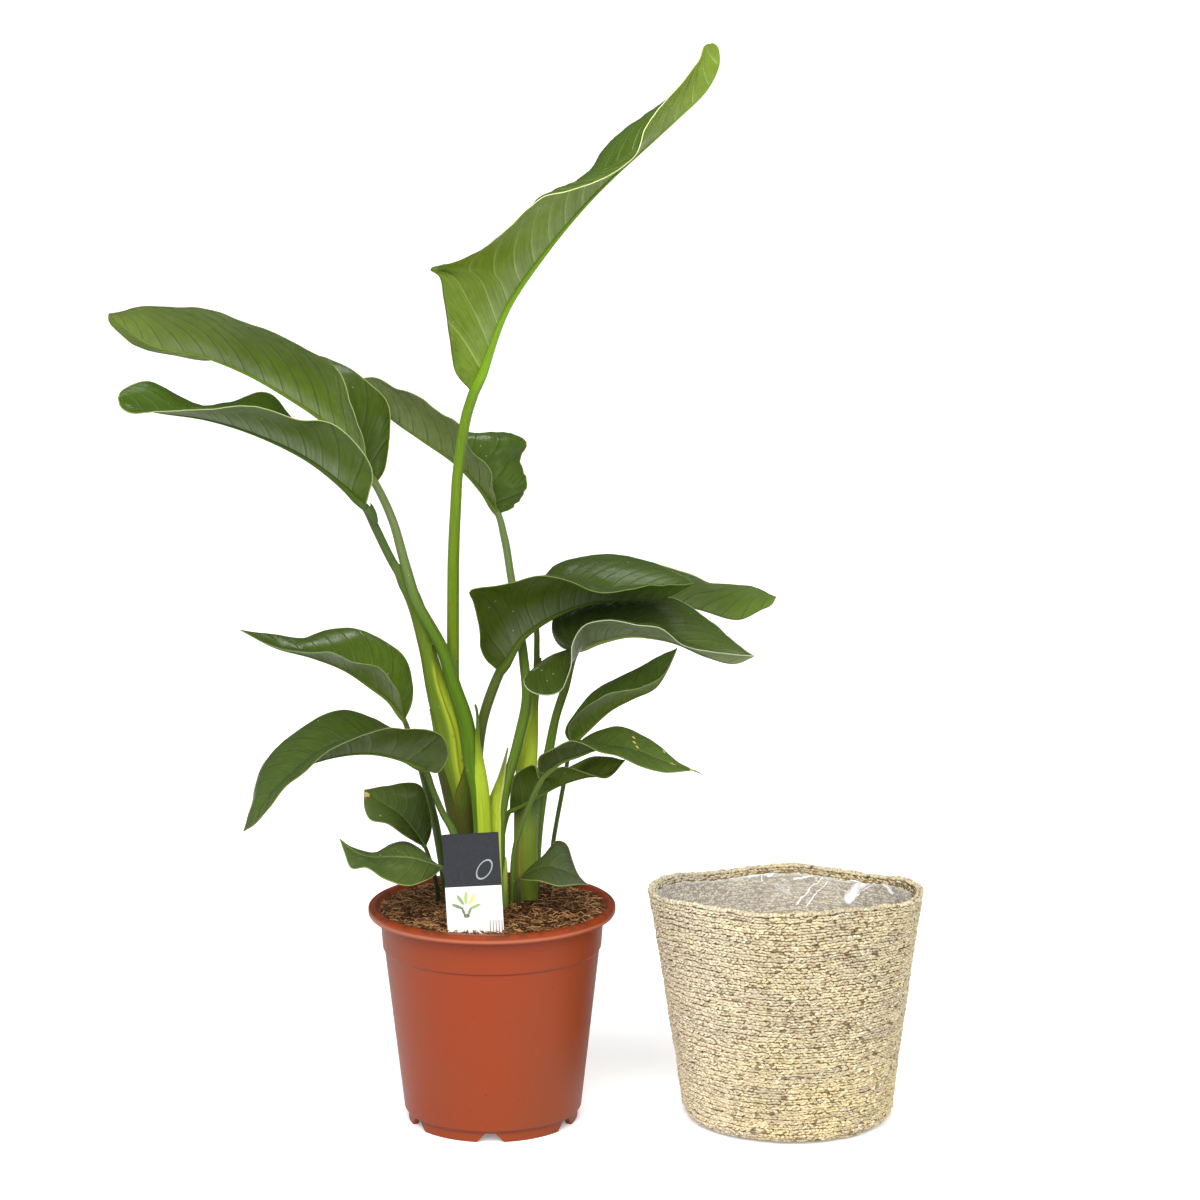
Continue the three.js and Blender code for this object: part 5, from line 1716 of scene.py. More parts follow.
@dataclass(frozen=True)
class CrumbFinish:
    """Fibres and lumps in the soil, each with its own shade."""

    name: str
    low: str
    high: str

    def build(self) -> Material:
        """Writes the material.

        Returns:
            The material.
        """
        w = MaterialWriter(self.name)
        shade = w.parts(w.kept("crumb_shade"))[0]
        mottle = w.group(EFFECTS.mottle, {"Place": w.place(), "Coarse": 200.0, "Fine": 1800.0})
        colour = w.blend(w.maths("POWER", shade, 1.6), paint(self.low), paint(self.high))
        colour = w.over(colour, w.span(mottle, 0.35, 0.65, 0.0, 0.45), "3a2212")
        w.set(Base_Color=colour, Roughness=0.85)
        w.bump(mottle, 0.0002, 0.6)
        return w.material


@dataclass
class PottingSoil:
    """The soil's surface, with the fibres and crumbs that lie on it."""

    pot: PotSize = field(default_factory=PotSize)
    clear: float = 0.35
    edge: float = 165.6
    crown: float = 171.0
    seed: int = 5

    def height(self, radius: np.ndarray) -> np.ndarray:
        """Mean height of the soil at a distance from the pot's axis."""
        shares = np.interp(radius, [0, 36, 62, 86], [1, 0.85, 0.45, 0])
        return self.edge + (self.crown - self.edge) * shares

    def mounds(self, places: np.ndarray) -> np.ndarray:
        """How much higher the soil is where it is pressed round a stalk."""
        roots = [route.stalk[0][:2] for route in LEAF_ROUTES.values()]
        gaps = [np.hypot(places[..., 0] - x, places[..., 1] - y) for x, y in roots]
        return 3.0 * np.exp(-((np.min(gaps, axis=0) / 9.0) ** 2))

    def crumbled(self, vertices: np.ndarray) -> np.ndarray:
        """Raises and sinks the soil's top.

        Args:
            vertices: The soil's vertices.

        Returns:
            The vertices with lumps on top.
        """
        top = vertices[:, 2] > self.edge - 0.1
        lumps = ripple(vertices, 9.0, self.seed, 4) * 1.5 + self.swell(vertices)
        out = vertices.copy()
        out[:, 2] += (np.maximum(lumps, -2.2) + self.mounds(vertices)) * top
        return out

    def swell(self, places: np.ndarray) -> np.ndarray:
        """The soil's broad unevenness."""
        return ripple(places, 34.0, self.seed + 2, 2) * 1.6

    def surface(self) -> Patch:
        """Fills the pot with soil.

        Returns:
            The soil as one closed body with a crumbly top.
        """
        pot, low, band = self.pot, 10.35, 124.0
        angles = np.linspace(0, 2 * np.pi, 220, endpoint=False)
        radii = np.linspace(pot.inside(self.edge, self.clear), 1.0, 76)
        tops = [(r, float(self.height(np.array(r)))) for r in radii]
        side = [(pot.inside(10, self.clear), low), (pot.inside(band, self.clear), band)]
        return turned([(0, low), *side, *tops, (0, self.crown)], angles, self.crumbled)

    def guide(self, name: str, reach: float) -> Object:
        """Lays a ring of faces, kept clear of the rim, that crumbs are strewn over.

        Args:
            name: Name of the guide.
            reach: Its outer radius.

        Returns:
            The guide.
        """
        angles = np.linspace(0, 2 * np.pi, 90, endpoint=False)
        radii = np.repeat(np.linspace(reach, 3.0, 40)[:, None], len(angles), axis=1)
        rings = np.stack([radii * np.cos(angles), radii * np.sin(angles), self.height(radii) + 0.6], -1)
        rings[..., 2] += self.swell(rings) + self.mounds(rings)
        patch = Patch(rings.reshape(-1, 3), grid_faces(len(radii), len(angles), ring=True))
        return make_piece(name, [patch], [])

    def fibres(self, finish: Material) -> Object:
        """Strews curled fibres of coir on the soil.

        Args:
            finish: Their material.

        Returns:
            The fibres as one piece.
        """
        sizes = {"Density": 125000.0, "Length": 0.0095, "Radius": 0.00034, "Seed": self.seed}
        g = ShapeTree("coir fibres", sizes)
        bow = {
            "Resolution": 7,
            "Start": (-0.5, 0.0, 0.0),
            "Start Handle": (-0.2, 0.55, 0.12),
            "End Handle": (0.25, -0.5, 0.2),
            "End": (0.5, 0.15, 0.02),
        }
        long = g.times(g.takes["Length"], g.scatter(0.35, 1.5, 4))
        curl = g.times(long, g.scatter(0.3, 1.3, 5))
        spin = [g.scatter(-0.5, 0.5, 1), g.scatter(-0.35, 0.35, 2), g.scatter(0.0, 6.283, 3)]
        feeds = {
            "Points": g.strewn(),
            "Instance": g.add("GeometryNodeCurvePrimitiveBezierSegment", bow),
            "Rotation": g.spun(*spin),
            "Scale": g.vector(long, curl, curl),
        }
        shade = g.scatter(0.0, 1.0, 6)
        placed = g.add("GeometryNodeInstanceOnPoints", feeds)
        stored = g.store(placed, "crumb_shade", g.vector(shade, shade, shade))
        ring = g.add("GeometryNodeCurvePrimitiveCircle", {"Resolution": 4, "Radius": g.takes["Radius"]})
        real = g.add("GeometryNodeRealizeInstances", {0: stored})
        feeds = {"Curve": real, "Profile Curve": ring.outputs["Curve"], "Fill Caps": True}
        g.end(g.add("GeometryNodeCurveToMesh", feeds), finish)
        return settle(g.run(self.guide("fibre_guide", 86.0), "soil_fibres"), None)

    def lumps(self, finish: Material) -> Object:
        """Strews crumbs of bark and peat on the soil.

        Args:
            finish: Their material.

        Returns:
            The crumbs as one piece.
        """
        g = ShapeTree("soil lumps", {"Density": 62000.0, "Radius": 0.0012, "Seed": self.seed + 4})
        ball = g.add("GeometryNodeMeshIcoSphere", {"Radius": g.takes["Radius"], "Subdivisions": 2})
        big = g.maths("POWER", g.scatter(0.35, 1.15, 4), 2.0)
        flat = (g.times(big, g.scatter(0.5, 1.1, 5)), g.times(big, g.scatter(0.35, 0.9, 6)))
        feeds = {
            "Points": g.strewn(),
            "Instance": ball.outputs["Mesh"],
            "Rotation": g.spun(*(g.scatter(0.0, 6.283, number) for number in (1, 2, 3))),
            "Scale": g.vector(big, *flat),
        }
        shade = g.scatter(0.0, 1.0, 7)
        placed = g.add("GeometryNodeInstanceOnPoints", feeds)
        g.end(g.store(placed, "crumb_shade", g.vector(shade, shade, shade)), finish)
        return settle(g.run(self.guide("lump_guide", 87.5), "soil_lumps"), None)

    def build(self) -> None:
        """Builds the soil and what lies on it."""
        soil = make_piece("potting_soil_heaped", [self.surface()], [SoilFinish().build()], 80)
        settle(soil, "potting_soil")
        self.fibres(CrumbFinish("coir fibre", "2c150a", "cc9862").build())
        self.lumps(CrumbFinish("bark crumb", "140b06", "80502e").build())


# ------------------------------------------------------------------ basket and film
@dataclass(frozen=True)
class StrawFinish:
    """Twined seagrass, each bead with its own shade."""

    name: str
    # A core finish is darker straw, painted shade for the gaps between the beads.
    core: bool = False

    def build(self) -> Material:
        """Writes the material.

        Returns:
            The material.
        """
        w = MaterialWriter(self.name)
        place = w.place()
        colour = self.inside(w, place) if self.core else self.grains(w, place)
        fibre = w.noise(place, 1100.0, 3.0)
        colour = w.over(colour, w.span(fibre, 0.45, 0.75, 0.0, 0.5), "7c6440")
        w.set(Base_Color=colour, Roughness=0.72)
        w.bump(fibre, 0.00025, 0.7)
        return w.material

    @staticmethod
    def inside(w: MaterialWriter, place: Any) -> Any:
        """The darker colour of the wall's inside, seen between the grains: painted shade in the gaps."""
        return w.blend(w.span(w.noise(place, 400.0), 0.3, 0.7), paint("6a5434"), paint("957e56"))

    @staticmethod
    def grains(w: MaterialWriter, place: Any) -> Any:
        """Writes the colour of the twined grains.

        Args:
            w: The material's writer.
            place: Object coordinates.

        Returns:
            The colour, paler towards the foot, and painted lighter on the left where the light falls.
        """
        x, _, z = w.parts(place)
        shade, other, _ = w.parts(w.kept("bead_shade"))
        colour = w.blend(w.span(z, 0.02, 0.1, 1.0, 0.25), paint("c2b99c"), paint("cebe92"))
        colour = w.over(colour, w.span(other, 0.55, 0.6, 0.0, 0.7), "d0c298")
        colour = w.over(colour, w.span(other, 0.8, 0.85, 0.0, 0.85), "b0a088")
        band = w.noise(w.stretched(place, 18.0, 18.0, 90.0), 1.0, 4.0)
        for share, code in (
            (w.span(band, 0.45, 0.66, 0.0, 0.6), "a89c8a"),
            (w.span(shade, 0.0, 0.25, 0.7, 0.0), "9a8458"),
            (w.span(shade, 0.03, 0.05, 0.65, 0.0), "4a3a2a"),
            (w.span(shade, 0.85, 1.0, 0.0, 0.55), "efe8c8"),
            # Painted light: the left side of the basket is lightened, as if lit from the left.
            (w.span(x, 0.13, 0.2, 0.35, 0.0), "f2e9d2"),
        ):
            colour = w.over(colour, share, code)
        return colour


@dataclass(frozen=True)
class BasketForm:
    """The soft basket's form, in millimetres from its own middle."""

    x: float = 229.0
    y: float = 7.0
    height: float = 178.0
    lean: float = -3.0
    slump: float = 9.0
    wall: float = 6.0
    floor: float = 7.0
    wave: float = 1.6
    waves: int = 5
    phase: float = 0.6
    outline: tuple = (
        (70, 0), (77, 1.5), (82, 7), (86.8, 48), (92.6, 88), (98, 128), (101.8, 152), (106, 178),
    )

    def radius(self, z: Any) -> Any:
        """Outer radius at a height."""
        return np.interp(z, [p[1] for p in self.outline], [p[0] for p in self.outline])

    def slumped(self, vertices: np.ndarray) -> np.ndarray:
        """Leans and waves the soft wall and moves it to the basket's place.

        Args:
            vertices: Places round the basket's own middle.

        Returns:
            Their places beside the pot.
        """
        out = vertices.copy()
        angle = np.arctan2(out[:, 1], out[:, 0])
        share = np.maximum(out[:, 2], 0) / self.height
        wave = self.wave * np.sin(self.waves * angle + self.phase)
        out[:, 0] += self.lean * share + self.x
        out[:, 1] += self.y
        out[:, 2] += share**2 * (wave - self.slump * np.sin(angle))
        return out


@dataclass
class SeagrassBasket:
    """The basket's woven wall: a core, coloured dark as painted shade in the gaps, with rows of twined
    beads on it.
    """

    form: BasketForm = field(default_factory=BasketForm)
    pitch: float = 3.2
    rise: float = 2.05
    seed: int = 21
    inner_from: float = 118.0

    def core(self, finish: Material) -> Object:
        """Builds the wall's inside, which closes the gaps between the beads and is coloured dark as
        painted shade there.

        Args:
            finish: Its material.

        Returns:
            The core.
        """
        f = self.form
        heights = np.linspace(8, 176, 24)
        outer = [(float(f.radius(z)) - 2.2, float(z)) for z in heights]
        inner = [(float(f.radius(z)) - f.wall + 0.5, float(z)) for z in heights[::-1]]
        foot = [(0, 0.6), (68, 0.6), (76, 2.2)]
        outline = [*foot, *outer, *inner, (float(f.radius(12)) - f.wall - 3, f.floor), (0, f.floor)]
        angles = np.linspace(0, 2 * np.pi, 160, endpoint=False)
        piece = make_piece("basket_core", [turned(outline, angles, f.slumped)], [finish])
        return settle(piece, "seagrass_basket")

    def row(self, radius: float, z: float, number: int, lean: float, side: float) -> tuple:
        """Lays one row of beads.

        Args:
            radius: The row's radius.
            z: Its height.
            number: Its number, which sets its slant and its looseness.
            lean: How much its beads look upwards.
            side: 1 for the outer face and -1 for the inner one.

        Returns:
            The beads' places, their outward and along directions, and their slant.
        """
        f = self.form
        count = round(2 * math.pi * radius / self.pitch)
        turn = 2 * np.pi * (np.arange(count) + 0.5 * (number % 2)) / count
        ring = np.stack([radius * np.cos(turn), radius * np.sin(turn), np.full(count, z)], 1)
        spots = f.slumped(ring)
        spots += ripple(spots, 26.0, self.seed)[:, None] * [0.2, 0.2, 1.0]
        loose = np.random.default_rng(self.seed + number)
        spots += loose.normal(0.0, 1.0, spots.shape) * [0.36, 0.36, 0.2]
        spots[:, 2] += 0.3 * (number % 2)
        out = np.stack([np.cos(turn) * side, np.sin(turn) * side, np.full(count, lean)], 1)
        along = unit(np.roll(spots, -1, axis=0) - np.roll(spots, 1, axis=0))
        return spots, unit(out), along, np.full(count, float(number % 2) * 2 - 1)

    def rows(self) -> list[list[tuple]]:
        """Lays all rows from the foot to the rim.

        Returns:
            The rows of the low, the middle and the rim's band.
        """
        f = self.form
        bands: list[list[tuple]] = [[], [], []]
        heights = np.arange(3.5, f.height, self.rise)
        for number, z in enumerate(heights.tolist()):
            slope = float(f.radius(z + 2) - f.radius(z - 2)) / 4
            band = min(int(number * 3 / len(heights)), 2)
            bands[band].append(self.row(float(f.radius(z)) - 1.5, z, number, -slope, 1.0))
            if z > self.inner_from:
                inner = float(f.radius(z)) - f.wall + 1.3
                bands[0 if z < 150 else 1].append(self.row(inner, z, number, slope, -1.0))
        rim = float(f.radius(f.height)) - f.wall / 2
        for number, (shift, z) in enumerate(((-1.3, 178.2), (1.3, 178.4))):
            bands[2].append(self.row(rim + shift, z, number, 3.0, 1.0))
        for number in range(3):
            bands[0].append(self.row(75.0 - number * self.pitch, 2.8, number, -6.0, 1.0))
        return bands

    def beads(self, name: str, rows: list[tuple], finish: Material) -> Object:
        """Sets a slanted low-poly grain on every place of a band.

        Args:
            name: Name of the piece.
            rows: The band's rows.
            finish: Their material.

        Returns:
            The band.
        """
        spots, out, along, hand = (np.concatenate([r[k] for r in rows]) for k in range(4))
        marks = {"bead_out": out, "bead_along": along, "bead_hand": np.stack([hand] * 3, 1)}
        guide = make_piece(name + "_guide", [Patch(spots, [], marks)], [])
        sizes = {"Length": 0.0028, "Width": 0.00118, "Depth": 0.0013, "Slant": math.radians(13)}
        g = ShapeTree("twined beads " + name, {**sizes, "Seed": self.seed})
        grain = g.add("GeometryNodeMeshUVSphere", {"Segments": 5, "Rings": 3, "Radius": 1.0})
        rounded_off = {"Geometry": grain.outputs["Mesh"], "Shade Smooth": True}
        smooth = g.add("GeometryNodeSetShadeSmooth", rounded_off)
        kept = {}
        for mark in marks:
            node = g.add("GeometryNodeInputNamedAttribute", {"Name": mark}, data_type="FLOAT_VECTOR")
            kept[mark] = next(s for s in node.outputs if s.enabled)
        align = "FunctionNodeAlignRotationToVector"
        first = g.add(align, {"Vector": kept["bead_along"]}, axis="X")
        outward = {"Rotation": first, "Vector": kept["bead_out"]}
        facing = g.add(align, outward, axis="Z", pivot_axis="X")
        slant = g.times(g.parts(kept["bead_hand"])[0], g.takes["Slant"])
        tilt = g.plus(slant, g.scatter(-0.3, 0.3, 1))
        spin = g.spun(g.scatter(-0.2, 0.2, 2), g.scatter(-0.12, 0.12, 3), tilt)
        slanted = {"Rotation": facing, "Rotate By": spin}
        size = g.vector(
            g.times(g.takes["Length"], g.scatter(0.7, 1.35, 4)),
            g.times(g.takes["Width"], g.scatter(0.7, 1.2, 5)),
            g.times(g.takes["Depth"], g.scatter(0.85, 1.2, 6)),
        )
        feeds = {
            "Points": g.takes[0],
            "Instance": smooth,
            "Rotation": g.add("FunctionNodeRotateRotation", slanted, rotation_space="LOCAL"),
            "Scale": size,
        }
        placed = g.add("GeometryNodeInstanceOnPoints", feeds)
        tint = g.vector(g.scatter(0.0, 1.0, 7), g.scatter(0.0, 1.0, 8), 0.0)
        g.end(g.store(placed, "bead_shade", tint), finish)
        return settle(g.run(guide, name), None)

    def build(self) -> None:
        """Builds the core and the beads in three bands."""
        self.core(StrawFinish("seagrass core", core=True).build())
        straw = StrawFinish("twined seagrass").build()
        for band, rows in zip(("low", "middle", "rim"), self.rows()):
            self.beads(f"basket_weave_{band}", rows, straw)


FILM_RADIUS = 0.095


@dataclass(frozen=True)
class FilmFinish:
    """Clear crinkled film, with painted white highlights along its creases, folds and top edge."""

    name: str = "clear film"
    # Painted highlight strokes along creases: two ends as angle and height, and half width.
    PAINTED_GLINTS: ClassVar[tuple] = (
        ((119, 164.5), (108, 165.5), 0.7),
        ((114, 168), (113, 160), 0.4),
        ((97, 161), (86, 165.5), 0.7),
        ((96, 141), (79, 167), 0.5),
        ((90, 141), (78, 160), 0.4),
        ((63, 150), (53, 166), 5.0),
        ((70, 165), (48, 166), 0.7),
        ((35, 168), (26, 163), 1.4),
        ((57, 153), (46, 165), 0.5),
    )

    @staticmethod
    def stroke(w: MaterialWriter, spot: Any, first: tuple, last: tuple, wide: float) -> Any:
        """Writes a painted white highlight along a crease, between two places.

        Args:
            w: The material's writer.
            spot: Distance round the film and height, in metres.
            first: Its first end, as an angle in degrees and a height in millimetres.
            last: Its last end.
            wide: Half its width, in millimetres.

        Returns:
            The painted highlight's brightness.
        """
        one, two = (np.array([math.radians(a) * FILM_RADIUS, h * MM, 0.0]) for a, h in (first, last))
        way = two - one
        sums = "ShaderNodeVectorMath"
        from_one = w.add(sums, {0: spot, 1: tuple(one)}, operation="SUBTRACT")
        dot = w.add(sums, {0: from_one, 1: tuple(way / float(way @ way))}, operation="DOT_PRODUCT")
        share = w.plus(dot.outputs["Value"], 0.0, clamp=True)
        foot = w.add(sums, {0: tuple(way), "Scale": share}, operation="SCALE")
        apart = w.add(sums, {0: from_one, 1: foot}, operation="DISTANCE")
        return w.span(apart.outputs["Value"], wide * MM * 0.5, wide * MM * 1.3, 1.0, 0.0)

    def brightness(self, w: MaterialWriter, place: Any, wrinkle: Any) -> Any:
        """Writes painted white highlights on the film's folds, creases and scattered patches, standing
        for reflections.

        Args:
            w: The material's writer.
            place: Object coordinates.
            wrinkle: The film's crinkles.

        Returns:
            The brightness.
        """
        # Painted highlights: thin lines on the crinkle folds and broad slanted patches.
        sharp = w.span(w.maths("PINGPONG", w.times(wrinkle, 5.0), 0.5), 0.0, 0.07, 1.0, 0.0)
        x, y, z = w.parts(place)
        slanting = w.vector(w.times(w.plus(x, w.times(z, 0.5)), 42.0), w.times(y, 8.0), w.times(z, 22.0))
        patch = w.span(w.noise(slanting, 1.0, 5.0, 0.65), 0.6, 0.7)
        bright = w.maths("MAXIMUM", w.times(sharp, 0.16), w.times(patch, 0.5))
        bright = w.maths("MAXIMUM", bright, w.parts(w.kept("film_crease"))[0])
        turn = w.maths("ARCTAN2", w.minus(y, 0.007), w.minus(x, 0.2262))
        spot = w.vector(w.times(turn, FILM_RADIUS), z, 0.0)
        sideways = w.span(wrinkle, 0.0, 1.0, -0.003, 0.003)
        upwards = w.span(w.noise(place, 130.0, 2.0), 0.0, 1.0, -0.0025, 0.0025)
        shaken = {0: spot, 1: w.vector(sideways, upwards, 0.0)}
        spot = w.add("ShaderNodeVectorMath", shaken, operation="SUBTRACT")
        for first, last, wide in self.PAINTED_GLINTS:
            bright = w.maths("MAXIMUM", bright, self.stroke(w, spot, first, last, wide))
        return bright

    def build(self) -> Material:
        """Writes the material.

        Returns:
            The material.
        """
        w = MaterialWriter(self.name)
        place = w.place()
        facing = w.add("ShaderNodeLayerWeight", {"Blend": 0.3}).outputs["Facing"]
        wrinkle = w.noise(place, 90.0, 4.0)
        bright = self.brightness(w, place, wrinkle)
        # Opaque white grows towards edge-on views and on the painted highlights, a painted reflection on
        # the clear film.
        alpha = w.plus(w.span(facing, 0.2, 1.0, 0.12, 0.42), w.times(bright, 0.65), clamp=True)
        w.set(Base_Color=paint("fbfbfa"), Roughness=0.14, Alpha=alpha, IOR=1.5)
        w.bump(wrinkle, 0.0015, 0.8)
        return w.material


@dataclass
class FilmLiner:
    """The clear film that lines the basket."""

    form: BasketForm = field(default_factory=BasketForm)
    top: float = 174.0
    film: float = 0.18
    seed: int = 31

    def inside(self, z: float, gap: float) -> float:
        """Radius that stays clear of the basket's wall by a gap."""
        return float(self.form.radius(z)) - self.form.wall - gap

    def crinkled(self, vertices: np.ndarray) -> np.ndarray:
        """Folds the film inwards and makes its edge uneven.

        Args:
            vertices: The film's vertices round the basket's own middle.

        Returns:
            Their places beside the pot.
        """
        out = vertices.copy()
        angle = np.arctan2(out[:, 1], out[:, 0])
        place = np.stack([np.cos(angle) * 95, np.sin(angle) * 95, out[:, 2] * 0.45], 1)
        fold = np.abs(ripple(place, 17.0, self.seed, 3)) * 3.4 * ease(out[:, 2], 10.0, 50.0)
        radius = np.hypot(out[:, 0], out[:, 1])
        out[:, :2] *= ((radius - fold) / np.maximum(radius, 1.0))[:, None] ** (radius > 1)[:, None]
        top = ease(out[:, 2], self.top - 10, self.top)
        out[:, 2] += top * (ripple(place * [1, 1, 0], 14.0, self.seed + 2, 2) * 2.2 - 1.0)
        return self.form.slumped(out)

    def build(self) -> Object:
        """Builds the crinkled film as one thin closed body.

        Returns:
            The film.
        """
        gap, low = 0.5, 16.0
        floor = self.form.floor + gap
        outer = [(0, floor), (40, floor), (self.inside(low, gap) - 4, floor)]
        outer += [(self.inside(z, gap), z) for z in np.linspace(low, self.top, 60).tolist()]
        inner = [(max(r - self.film, 0), z + (self.film if z < 12 else 0)) for r, z in outer[::-1]]
        angles = np.linspace(0, 2 * np.pi, 260, endpoint=False)
        body = turned([*outer, *inner], angles, self.crinkled)
        level = np.repeat([z for _, z in [*outer, *inner][1:-1]], len(angles))
        level = np.concatenate([level, [0, 0]])
        # Painted highlight along the film's top edge.
        edge = ease(level, self.top - 2.0, self.top - 0.5) * 0.35
        body.marks["film_crease"] = np.stack([edge, edge * 0, edge * 0], 1)
        piece = make_piece("basket_film", [body], [FilmFinish().build()], 60)
        return settle(piece, "basket_liner")


# ------------------------------------------------------------------ shoot and label
@dataclass(frozen=True)
class ShootFinish:
    """Pale young growth."""

    name: str = "young shoot"

    def build(self) -> Material:
        """Writes the material.

        Returns:
            The material.
        """
        w = MaterialWriter(self.name)
        place = w.place()
        streak = w.noise(w.stretched(place, 900.0, 900.0, 40.0), 1.0)
        colour = w.blend(w.span(w.parts(place)[2], 0.165, 0.205), paint("5f7a2c"), paint("86983c"))
        colour = w.over(colour, w.span(streak, 0.4, 0.7, 0.0, 0.5), "3f5518")
        w.set(Base_Color=colour, Roughness=0.42)
        w.bump(streak, 0.0003, 0.6)
        return w.material


@dataclass
class YoungShoot:
    """The rolled young leaf that stands in the soil."""

    x: float = 10.0
    y: float = -22.0
    root: float = 148.0
    tip: float = 212.0
    radius: float = 3.1
    sides: int = 28

    def build(self) -> Object:
        """Builds the shoot with its rolled seam.

        Returns:
            The shoot.
        """
        share = np.linspace(0, 1, 46)
        size = np.interp(share, [0, 0.45, 0.75, 0.92, 1], [1, 1, 0.7, 0.4, 0.08]) * self.radius
        x, y = self.x + 1.5 * share**2, self.y + 0.6 * np.sin(share * 4)
        centres = np.stack([x, y, self.root + share * (self.tip - self.root)], 1)
        patch, angles = tube(centres, size, size, self.sides, 0.03)
        rows = np.concatenate([np.repeat(share, self.sides), [0, 1]])
        seam = np.exp(-(((angles - 4.4 - rows * 1.2) / 0.22) ** 2))
        middle = np.vstack([np.repeat(centres, self.sides, axis=0), centres[:1], centres[-1:]])
        patch.vertices = middle + (patch.vertices - middle) * (1 + 0.22 * seam[:, None])
        piece = make_piece("young_shoot_rolled", [patch], [ShootFinish().build()])
        return settle(piece, "young_shoot")


@dataclass(frozen=True)
class LabelFinish:
    """A printed plastic label: slate above, white below, with plain shapes only."""

    name: str = "printed label"
    LEAVES: ClassVar[tuple] = (
        (-6.0, 33.0, 1.5, 5.5, 4.0, "8fa84a"),
        (-10.2, 31.5, 1.5, 5.0, -32.0, "6d8a3c"),
        (-1.8, 31.5, 1.5, 5.0, 34.0, "b4c24e"),
        (-12.5, 26.5, 1.4, 5.0, -66.0, "4f7034"),
        (0.6, 26.0, 1.4, 5.0, 68.0, "7f9c3e"),
        (-8.4, 22.4, 1.1, 3.6, -20.0, "3f5c2a"),
        (-4.0, 22.0, 1.2, 3.8, 24.0, "587a34"),
        (-6.2, 19.0, 2.6, 1.6, 0.0, "4a5a3c"),
    )

    @staticmethod
    def oval(w: MaterialWriter, place: tuple, spot: tuple, size: tuple, lean: float) -> Any:
        """Writes how far the label's places lie from the middle of an oval.

        Args:
            w: The material's writer.
            place: Where a place is, across the label and up it.
            spot: The oval's middle.
            size: Its half width and half height.
            lean: How far it leans, in degrees.

        Returns:
            The distance, 1 on the oval itself.
        """
        sine, cosine = math.sin(math.radians(lean)), math.cos(math.radians(lean))
        right, above = (w.minus(side, middle) for side, middle in zip(place, spot))
        wide = w.maths("DIVIDE", w.minus(w.times(right, cosine), w.times(above, sine)), size[0])
        tall = w.maths("DIVIDE", w.plus(w.times(right, sine), w.times(above, cosine)), size[1])
        return w.maths("SQRT", w.plus(w.times(wide, wide), w.times(tall, tall)))

    def build(self) -> Material:
        """Writes the material.

        Returns:
            The material.
        """
        w = MaterialWriter(self.name)
        across, up, _ = w.parts(w.kept("label_place"))
        grain = w.noise(w.place(), 900.0, 2.0)
        mixed = w.span(grain, 0.3, 0.7)
        slate = w.blend(mixed, paint("131418"), paint("1c1e26"))
        white = w.blend(mixed, paint("e9e9e4"), paint("dfe0db"))
        colour = w.blend(w.span(up, 41.2, 41.6), white, slate)
        outline = self.oval(w, (across, up), (9.0, 54.0), (4.6, 8.0), 35.0)
        ring = w.maths("ABSOLUTE", w.minus(outline, 1.0))
        colour = w.over(colour, w.span(ring, 0.06, 0.1, 0.7, 0.0), "a9b0ae")
        for x, y, wide, tall, lean, code in self.LEAVES:
            blob = self.oval(w, (across, up), (x, y), (wide, tall), lean)
            colour = w.over(colour, w.span(blob, 0.85, 1.0, 0.9, 0.0), code)
        stripe = w.span(w.maths("PINGPONG", across, 1.1), 0.25, 0.4, 0.75, 0.0)
        for side, low, high in ((across, 9.0, 20.2), (up, 1.5, 15.0)):
            stripe = w.times(stripe, w.span(side, low, low + 0.2))
            stripe = w.times(stripe, w.span(side, high - 0.2, high, 1.0, 0.0))
        colour = w.over(colour, stripe, "6e3038")
        w.set(Base_Color=colour, Roughness=0.38)
        w.bump(grain, 0.00008, 0.5)
        return w.material


@dataclass
class PlantLabel:
    """The flat label with its stake."""

    x: float = -9.2
    y: float = -74.0
    foot: float = 161.2
    width: float = 42.0
    height: float = 82.0
    thickness: float = 0.8
    lean: float = -3.0
    stake: float = 14.0
    stake_tip: float = 4.0
    stake_length: float = 42.0
    corner: float = 0.8

    def outline(self) -> np.ndarray:
        """Draws the label with its stake and round corners.

        Returns:
            Points anticlockwise as seen from the front.
        """
        half, neck, point, r = self.width / 2, self.stake / 2, self.stake_tip / 2, self.corner
        spots = [(-neck, 0.0), (-point, -self.stake_length), (point, -self.stake_length), (neck, 0.0)]
        low, high = r, self.height - r
        corners = ((half - r, low, -90), (half - r, high, 0), (r - half, high, 90), (r - half, low, 180))
        for x, y, start in corners:
            turns = [math.radians(start + k * 15) for k in range(7)]
            spots += [(x + r * math.cos(turn), y + r * math.sin(turn)) for turn in turns]
        return np.array(spots)

    def build(self) -> Object:
        """Builds the panel with softened edges.

        Returns:
            The label.
        """
        outline = self.outline()
        count, half, soft = len(outline), self.thickness / 2, 0.18
        ahead = unit(np.roll(outline, -1, axis=0) - np.roll(outline, 1, axis=0))
        inward = np.stack([-ahead[:, 1], ahead[:, 0]], 1)
        rings = []
        for inset, depth in ((soft, -half), (0.0, soft - half), (0.0, half - soft), (soft, half)):
            flat = outline + inward * inset
            rings.append(np.stack([flat[:, 0], np.full(count, depth), flat[:, 1]], 1))
        across, depth, up = np.vstack(rings).T
        faces = grid_faces(4, count, flip=True, ring=True)
        faces += [tuple(range(count)), tuple(reversed(range(3 * count, 4 * count)))]
        lean = math.radians(self.lean)
        x = across * math.cos(lean) + up * math.sin(lean)
        z = up * math.cos(lean) - across * math.sin(lean)
        vertices = np.stack([x + self.x, depth + self.y, z + self.foot], 1)
        panel = Patch(vertices, faces, {"label_place": np.stack([across, up, depth], 1)})
        piece = make_piece("plant_label_panel", [panel], [LabelFinish().build()], 40)
        return settle(piece, "plant_label")


